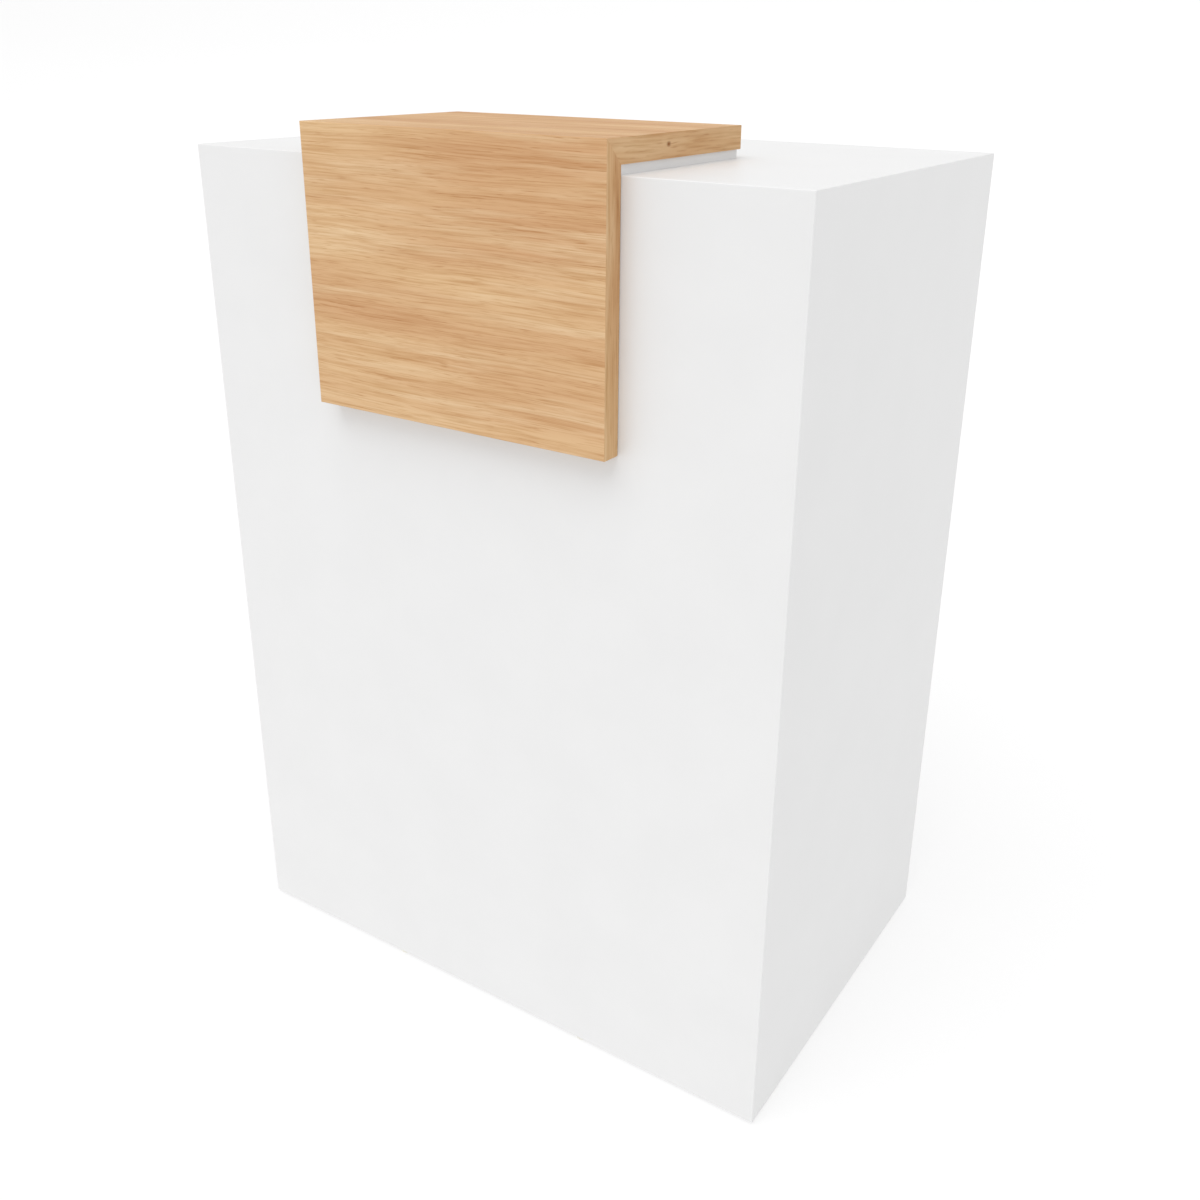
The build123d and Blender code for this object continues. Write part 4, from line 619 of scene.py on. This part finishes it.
def plywood(name, thick_axis, grain_axis, low, ply):
    """Lacquered birch plywood: pale faces with faint figure, and plies along its edges."""
    material, tree, shader, place = start(name, "#DDBE92", 0.48, Coat_Weight=0.1, Coat_Roughness=0.25)
    scale = [70.0, 70.0, 70.0]
    scale[grain_axis] = 3.0
    figure = add(tree, "ShaderNodeMapping", {"Vector": place, "Scale": scale}).outputs[0]
    figure = add(tree, "ShaderNodeTexNoise", {
        "Vector": figure, "Scale": 1.0, "Detail": 4.0, "Distortion": 0.35,
    }).outputs["Fac"]
    face = add(tree, "ShaderNodeValToRGB", {"Fac": figure})
    face.color_ramp.elements[0].position, face.color_ramp.elements[1].position = 0.28, 0.74
    face.color_ramp.elements[0].color = linear("#D8B78B")
    face.color_ramp.elements[1].color = linear("#E3CAA2")
    level = add(tree, "ShaderNodeSeparateXYZ", {"Vector": place}).outputs[thick_axis]
    level = add(tree, "ShaderNodeMath", {0: level, 1: low}, operation="SUBTRACT").outputs[0]
    level = add(tree, "ShaderNodeMath", {0: level, 1: 2 * ply}, operation="DIVIDE").outputs[0]
    level = add(tree, "ShaderNodeMath", {0: level}, operation="FRACT").outputs[0]
    layer = add(tree, "ShaderNodeMath", {0: level, 1: 0.5}, operation="GREATER_THAN").outputs[0]
    edge = {0: layer, 6: linear("#D8B98B"), 7: linear("#A67C4E")}
    edge = add(tree, "ShaderNodeMix", edge, data_type="RGBA").outputs[2]
    normal = add(tree, "ShaderNodeNewGeometry").outputs["Normal"]
    facing = add(tree, "ShaderNodeSeparateXYZ", {"Vector": normal}).outputs[thick_axis]
    facing = add(tree, "ShaderNodeMath", {0: facing}, operation="ABSOLUTE").outputs[0]
    facing = add(tree, "ShaderNodeMath", {0: facing, 1: 0.7}, operation="GREATER_THAN").outputs[0]
    colour = {0: facing, 6: edge, 7: face.outputs["Color"]}
    colour = add(tree, "ShaderNodeMix", colour, data_type="RGBA").outputs[2]
    tree.links.new(colour, shader.inputs["Base Color"])
    bump = add(tree, "ShaderNodeBump", {"Height": figure, "Strength": 0.2, "Distance": 0.0001})
    tree.links.new(bump.outputs["Normal"], shader.inputs["Normal"])
    return material


dress(plywood("birch_plywood_base", 2, 0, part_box("bin_base")[0].z, 0.0014), "bin_base")
for panel in ("bin_left_panel", "bin_right_panel"):
    dress(plywood("birch_plywood_" + panel, 0, 1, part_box(panel)[0].x, 0.0013), panel)
for panel in ("bin_inner_panel", "bin_outer_panel"):
    dress(plywood("birch_plywood_" + panel, 1, 0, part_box(panel)[0].y, 0.0013), panel)

# Satin anodised aluminium: even pale grey with very fine extrusion lines along the angle.
aluminium, tree, shader, place = start("satin_anodised_aluminium", "#C9CACC", 0.36, 1.0)
lines = add(tree, "ShaderNodeMapping", {"Vector": place, "Scale": (60.0, 60.0, 900.0)}).outputs[0]
lines = add(tree, "ShaderNodeTexNoise", {"Vector": lines, "Scale": 1.0, "Detail": 2.0}).outputs["Fac"]
gloss = add(tree, "ShaderNodeMapRange", {"Value": lines, "To Min": 0.28, "To Max": 0.44})
tree.links.new(gloss.outputs["Result"], shader.inputs["Roughness"])
bump = add(tree, "ShaderNodeBump", {"Height": lines, "Strength": 0.2, "Distance": 0.00005})
tree.links.new(bump.outputs["Normal"], shader.inputs["Normal"])
dress(aluminium, "bin_rim")
dress(stainless, "bin_handle")

shape = bmesh.new()
for low, high, island in solids("fascia_pads"):
    radius, thick = (high.x - low.x) / 2, high.y - low.y
    profile = [(0, 0), (0, radius), (0.6 * thick, radius), (0.9 * thick, radius - 0.0004)]
    profile += [(thick, radius - 0.0012), (thick, 0)]
    centre = Vector(((low.x + high.x) / 2, low.y, (low.z + high.z) / 2))
    turn(shape, profile, centre, (0, 1, 0), 24)
finish_mesh("felt_fascia_pads", shape, [felt], "bin", "fascia_pads")

# ================================================================ sprung platform
# A felted plywood floor slides on four ground steel posts in nylon bushes. A compression
# spring round each post carries it, so that it sinks as the books pile up.
posts = brushed("ground_stainless_post", "#BDBEC0", 2, 0.22)
dress(posts, "guide_rods")
dress(zinc, "rod_collars")
dress(nylon, "platform_bushes")
dress(plywood("birch_plywood_platform", 2, 0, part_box("platform_board")[0].z, 0.0014), "platform_board")

felt_low, felt_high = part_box("platform_felt")
felt_middle = (felt_low + felt_high) / 2
felt_holes = []
for low, high, island in solids("rod_collars"):
    centre = (low + high) / 2 - felt_middle
    felt_holes.append((centre.x, centre.y, (high.x - low.x) / 2 + 0.002))
felt_size = felt_high - felt_low
felt_foot = Vector((felt_middle.x, felt_middle.y, felt_low.z))
felt_sheet("felt_platform_cover", felt_size.x, felt_size.y, felt_size.z, felt_holes,
           felt_foot, (0, 1, 0), (0, 0, 1), "platform", "platform_felt")

coil_tree, given = tree_with("compression_spring", [
    ("Coil radius", "NodeSocketFloat", 0.015),
    ("Wire radius", "NodeSocketFloat", 0.0018),
    ("Height", "NodeSocketFloat", 0.24),
    ("Turns", "NodeSocketFloat", 12.0),
    ("Metal", "NodeSocketMaterial", None),
])
tree = coil_tree
coil = add(tree, "GeometryNodeCurveSpiral", {
    "Resolution": 22, "Rotations": given["Turns"], "Start Radius": given["Coil radius"],
    "End Radius": given["Coil radius"], "Height": given["Height"],
}).outputs[0]
spot = add(tree, "ShaderNodeSeparateXYZ", {0: add(tree, "GeometryNodeInputPosition").outputs[0]}).outputs
share = add(tree, "ShaderNodeMath", {0: spot["Z"], 1: given["Height"]}, operation="DIVIDE").outputs[0]
closed = add(tree, "ShaderNodeFloatCurve", {"Value": share})
line = closed.mapping.curves[0]
line.points[0].location, line.points[1].location = (0, 0), (1, 1)
for x, y in ((0.09, 0.018), (0.91, 0.982)):
    line.points.new(x, y)
for point in line.points:
    point.handle_type = "VECTOR"
closed.mapping.update()
level = {0: closed.outputs[0], 1: given["Height"]}
level = add(tree, "ShaderNodeMath", level, operation="MULTIPLY").outputs[0]
wound = add(tree, "ShaderNodeCombineXYZ", {0: spot["X"], 1: spot["Y"], 2: level}).outputs[0]
coil = add(tree, "GeometryNodeSetPosition", {"Geometry": coil, "Position": wound}).outputs[0]
wire = {"Resolution": 8, "Radius": given["Wire radius"]}
wire = add(tree, "GeometryNodeCurvePrimitiveCircle", wire).outputs[0]
coil = {"Curve": coil, "Profile Curve": wire, "Fill Caps": True}
coil = add(tree, "GeometryNodeCurveToMesh", coil).outputs[0]
placed = {"Points": given["Geometry"], "Instance": coil}
placed = add(tree, "GeometryNodeInstanceOnPoints", placed).outputs[0]
real = add(tree, "GeometryNodeRealizeInstances", {0: placed}).outputs[0]
real = add(tree, "GeometryNodeSetMaterial", {"Geometry": real, "Material": given["Metal"]}).outputs[0]
add(tree, "NodeGroupOutput", {0: real})

wire_radius = 0.0018
feet = []
for low, high, island in solids("platform_springs"):
    feet.append(Vector(((low.x + high.x) / 2, (low.y + high.y) / 2, low.z + wire_radius)))
    coil_radius = (high.x - low.x) / 2 - wire_radius
    coil_height = high.z - low.z - 2 * wire_radius
springs = settle("wound_platform_springs", grow("coils", coil_tree, feet, [(0, 0, 1)] * len(feet), {
    "Coil radius": coil_radius, "Wire radius": wire_radius, "Height": coil_height,
    "Turns": 12.0, "Metal": spring_steel,
}), "bin", "platform_springs", 60)
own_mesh(springs)

# ================================================================ cam lock
# A die-cast barrel is clamped through the fascia by a hexagon nut. Its plug turns a pressed
# cam a quarter, up behind the rail. The barrel, plug and nut are nickel plated and the cam is
# zinc plated; the key slot is cut in the plug.
nickel, tree, shader, place = start("bright_nickel_plate", "#C6C3BC", 0.2, 1.0)
haze = add(tree, "ShaderNodeTexNoise", {"Vector": place, "Scale": 240.0, "Detail": 3.0}).outputs["Fac"]
gloss = add(tree, "ShaderNodeMapRange", {"Value": haze, "To Min": 0.12, "To Max": 0.32})
tree.links.new(gloss.outputs["Result"], shader.inputs["Roughness"])
dress(nickel, "lock_barrel", "lock_plug", "lock_nut")
dress(zinc, "lock_cam")

# ================================================================ castors
# Pressed zinc-plated forks carry four 50 mm wheels: two fixed at the inner end, two swivel
# under the fascia. Each wheel is a black hub with a grey non-marking tread moulded round it.
dress(zinc, "fixed_castor_forks", "swivel_plates", "left_castor_fork", "right_castor_fork")

# Thermoplastic rubber: mid grey and dull, with scuffs picked up from the floor.
tread, tree, shader, place = start("grey_castor_tread", "#6E7073", 0.66)
scuff = add(tree, "ShaderNodeTexNoise", {"Vector": place, "Scale": 160.0, "Detail": 5.0}).outputs["Fac"]
colour = add(tree, "ShaderNodeValToRGB", {"Fac": scuff})
colour.color_ramp.elements[0].position, colour.color_ramp.elements[1].position = 0.4, 0.7
colour.color_ramp.elements[0].color = linear("#66686B")
colour.color_ramp.elements[1].color = linear("#808285")
tree.links.new(colour.outputs["Color"], shader.inputs["Base Color"])
bump = add(tree, "ShaderNodeBump", {"Height": scuff, "Strength": 0.3, "Distance": 0.0001})
tree.links.new(bump.outputs["Normal"], shader.inputs["Normal"])

for end in ("inner", "outer"):
    for side in ("left", "right"):
        node = f"{end}_{side}_wheel"
        low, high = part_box(node)
        middle, radius, half = (low + high) / 2, (high.z - low.z) / 2, (high.x - low.x) / 2
        shape = bmesh.new()
        ring, edge = radius - 0.0065, 0.0030
        shoulder = [(half - edge + edge * sin(step * pi / 8), radius - edge + edge * cos(step * pi / 8))
                    for step in range(5)]
        crown = [(half * 0.35, radius)] + shoulder
        tyre = [(-x, r) for x, r in reversed(crown)] + crown
        tyre += [(half, ring + 0.0012), (half - 0.0004, ring)]
        tyre += [(-half + 0.0004, ring), (-half, ring + 0.0012)]
        turn(shape, tyre, middle, (1, 0, 0), 48, 0)
        bore, boss, web = 0.0031, 0.0068, half - 0.0028
        side_one = [(half - 0.0006, ring), (half - 0.0006, ring - 0.0012), (web, ring - 0.0022)]
        side_one += [(web - 0.0004, 0.0085), (web + 0.0006, boss), (half - 0.0003, boss - 0.0006)]
        side_one += [(half - 0.0003, bore)]
        hub = side_one + [(-x, r) for x, r in reversed(side_one)]
        turn(shape, hub, middle, (1, 0, 0), 48, 1)
        finish_mesh(f"moulded_{node}", shape, [tread, black_plastic], f"{end}_{side}_roller",
                    node)

# ================================================================ studio
# The piece stands on a seamless pale sweep that rises into a low wall all round. An even
# white dome lights it, and a broad soft lamp comes from above and ahead.
flat, bend, wall_top, sides = 7.0, 1.6, 3.0, 96
sweep_points = [(0.6, 0.0), (1.5, 0.0), (4.0, 0.0), (flat, 0.0)]
for degrees in range(15, 91, 15):
    angle = radians(degrees)
    sweep_points.append((flat + bend * sin(angle), bend - bend * cos(angle)))
sweep_points.append((flat + bend, wall_top))
shape = bmesh.new()
rings = []
for reach, level in sweep_points:
    angles = [2 * pi * side / sides for side in range(sides)]
    rings.append([shape.verts.new((reach * cos(a), reach * sin(a), level)) for a in angles])
centre = shape.verts.new((0, 0, 0))
for side in range(sides):
    following = (side + 1) % sides
    shape.faces.new((centre, rings[0][side], rings[0][following]))
    for inner, outer in zip(rings, rings[1:]):
        shape.faces.new((inner[side], outer[side], outer[following], inner[following]))
mesh = bpy.data.meshes.new("studio_sweep")
shape.to_mesh(mesh)
shape.free()
mesh.polygons.foreach_set("use_smooth", [True] * len(mesh.polygons))
sweep = bpy.data.objects.new("studio_sweep", mesh)
bpy.context.scene.collection.objects.link(sweep)
paper, tree, shader, place = start("pale_paper_sweep", "#A0A0A0", 0.9, Emission_Strength=0.6)
shader.inputs["Emission Color"].default_value = (1, 1, 1, 1)
shader.inputs["Specular IOR Level"].default_value = 0.0
mesh.materials.append(paper)

world = bpy.data.worlds.new("studio_dome")
world.use_nodes = True
world.node_tree.nodes["Background"].inputs["Color"].default_value = (1, 1, 1, 1)
world.node_tree.nodes["Background"].inputs["Strength"].default_value = 0.832
bpy.context.scene.world = world

lamp = bpy.data.lights.new("broad_soft_lamp", "SUN")
lamp.energy = 1.35
lamp.angle = radians(50)
lamp_object = bpy.data.objects.new("broad_soft_lamp", lamp)
bpy.context.scene.collection.objects.link(lamp_object)
lamp_object.rotation_euler = Vector((0.0, -0.437, 0.899)).to_track_quat("Z", "Y").to_euler()

camera = bpy.data.cameras.new("camera")
camera.sensor_width = 36
camera.lens = 37.443
camera.shift_x, camera.shift_y = -0.01045, -0.04744
camera_object = bpy.data.objects.new("camera", camera)
bpy.context.scene.collection.objects.link(camera_object)
turned, raised, tilted = radians(32.6534), radians(21.9040), radians(0.6493)
forward = Vector((-sin(turned) * cos(raised), cos(turned) * cos(raised), -sin(raised)))
level = forward.cross(Vector((0, 0, 1))).normalized()
rightward = level * cos(tilted) + level.cross(forward) * sin(tilted)
aim = Matrix((rightward, rightward.cross(forward), -forward)).transposed().to_4x4()
camera_object.matrix_world = Matrix.Translation((0.8591, -1.2981, 1.1984)) @ aim
bpy.context.scene.camera = camera_object
bpy.context.scene.view_settings.view_transform = "Standard"
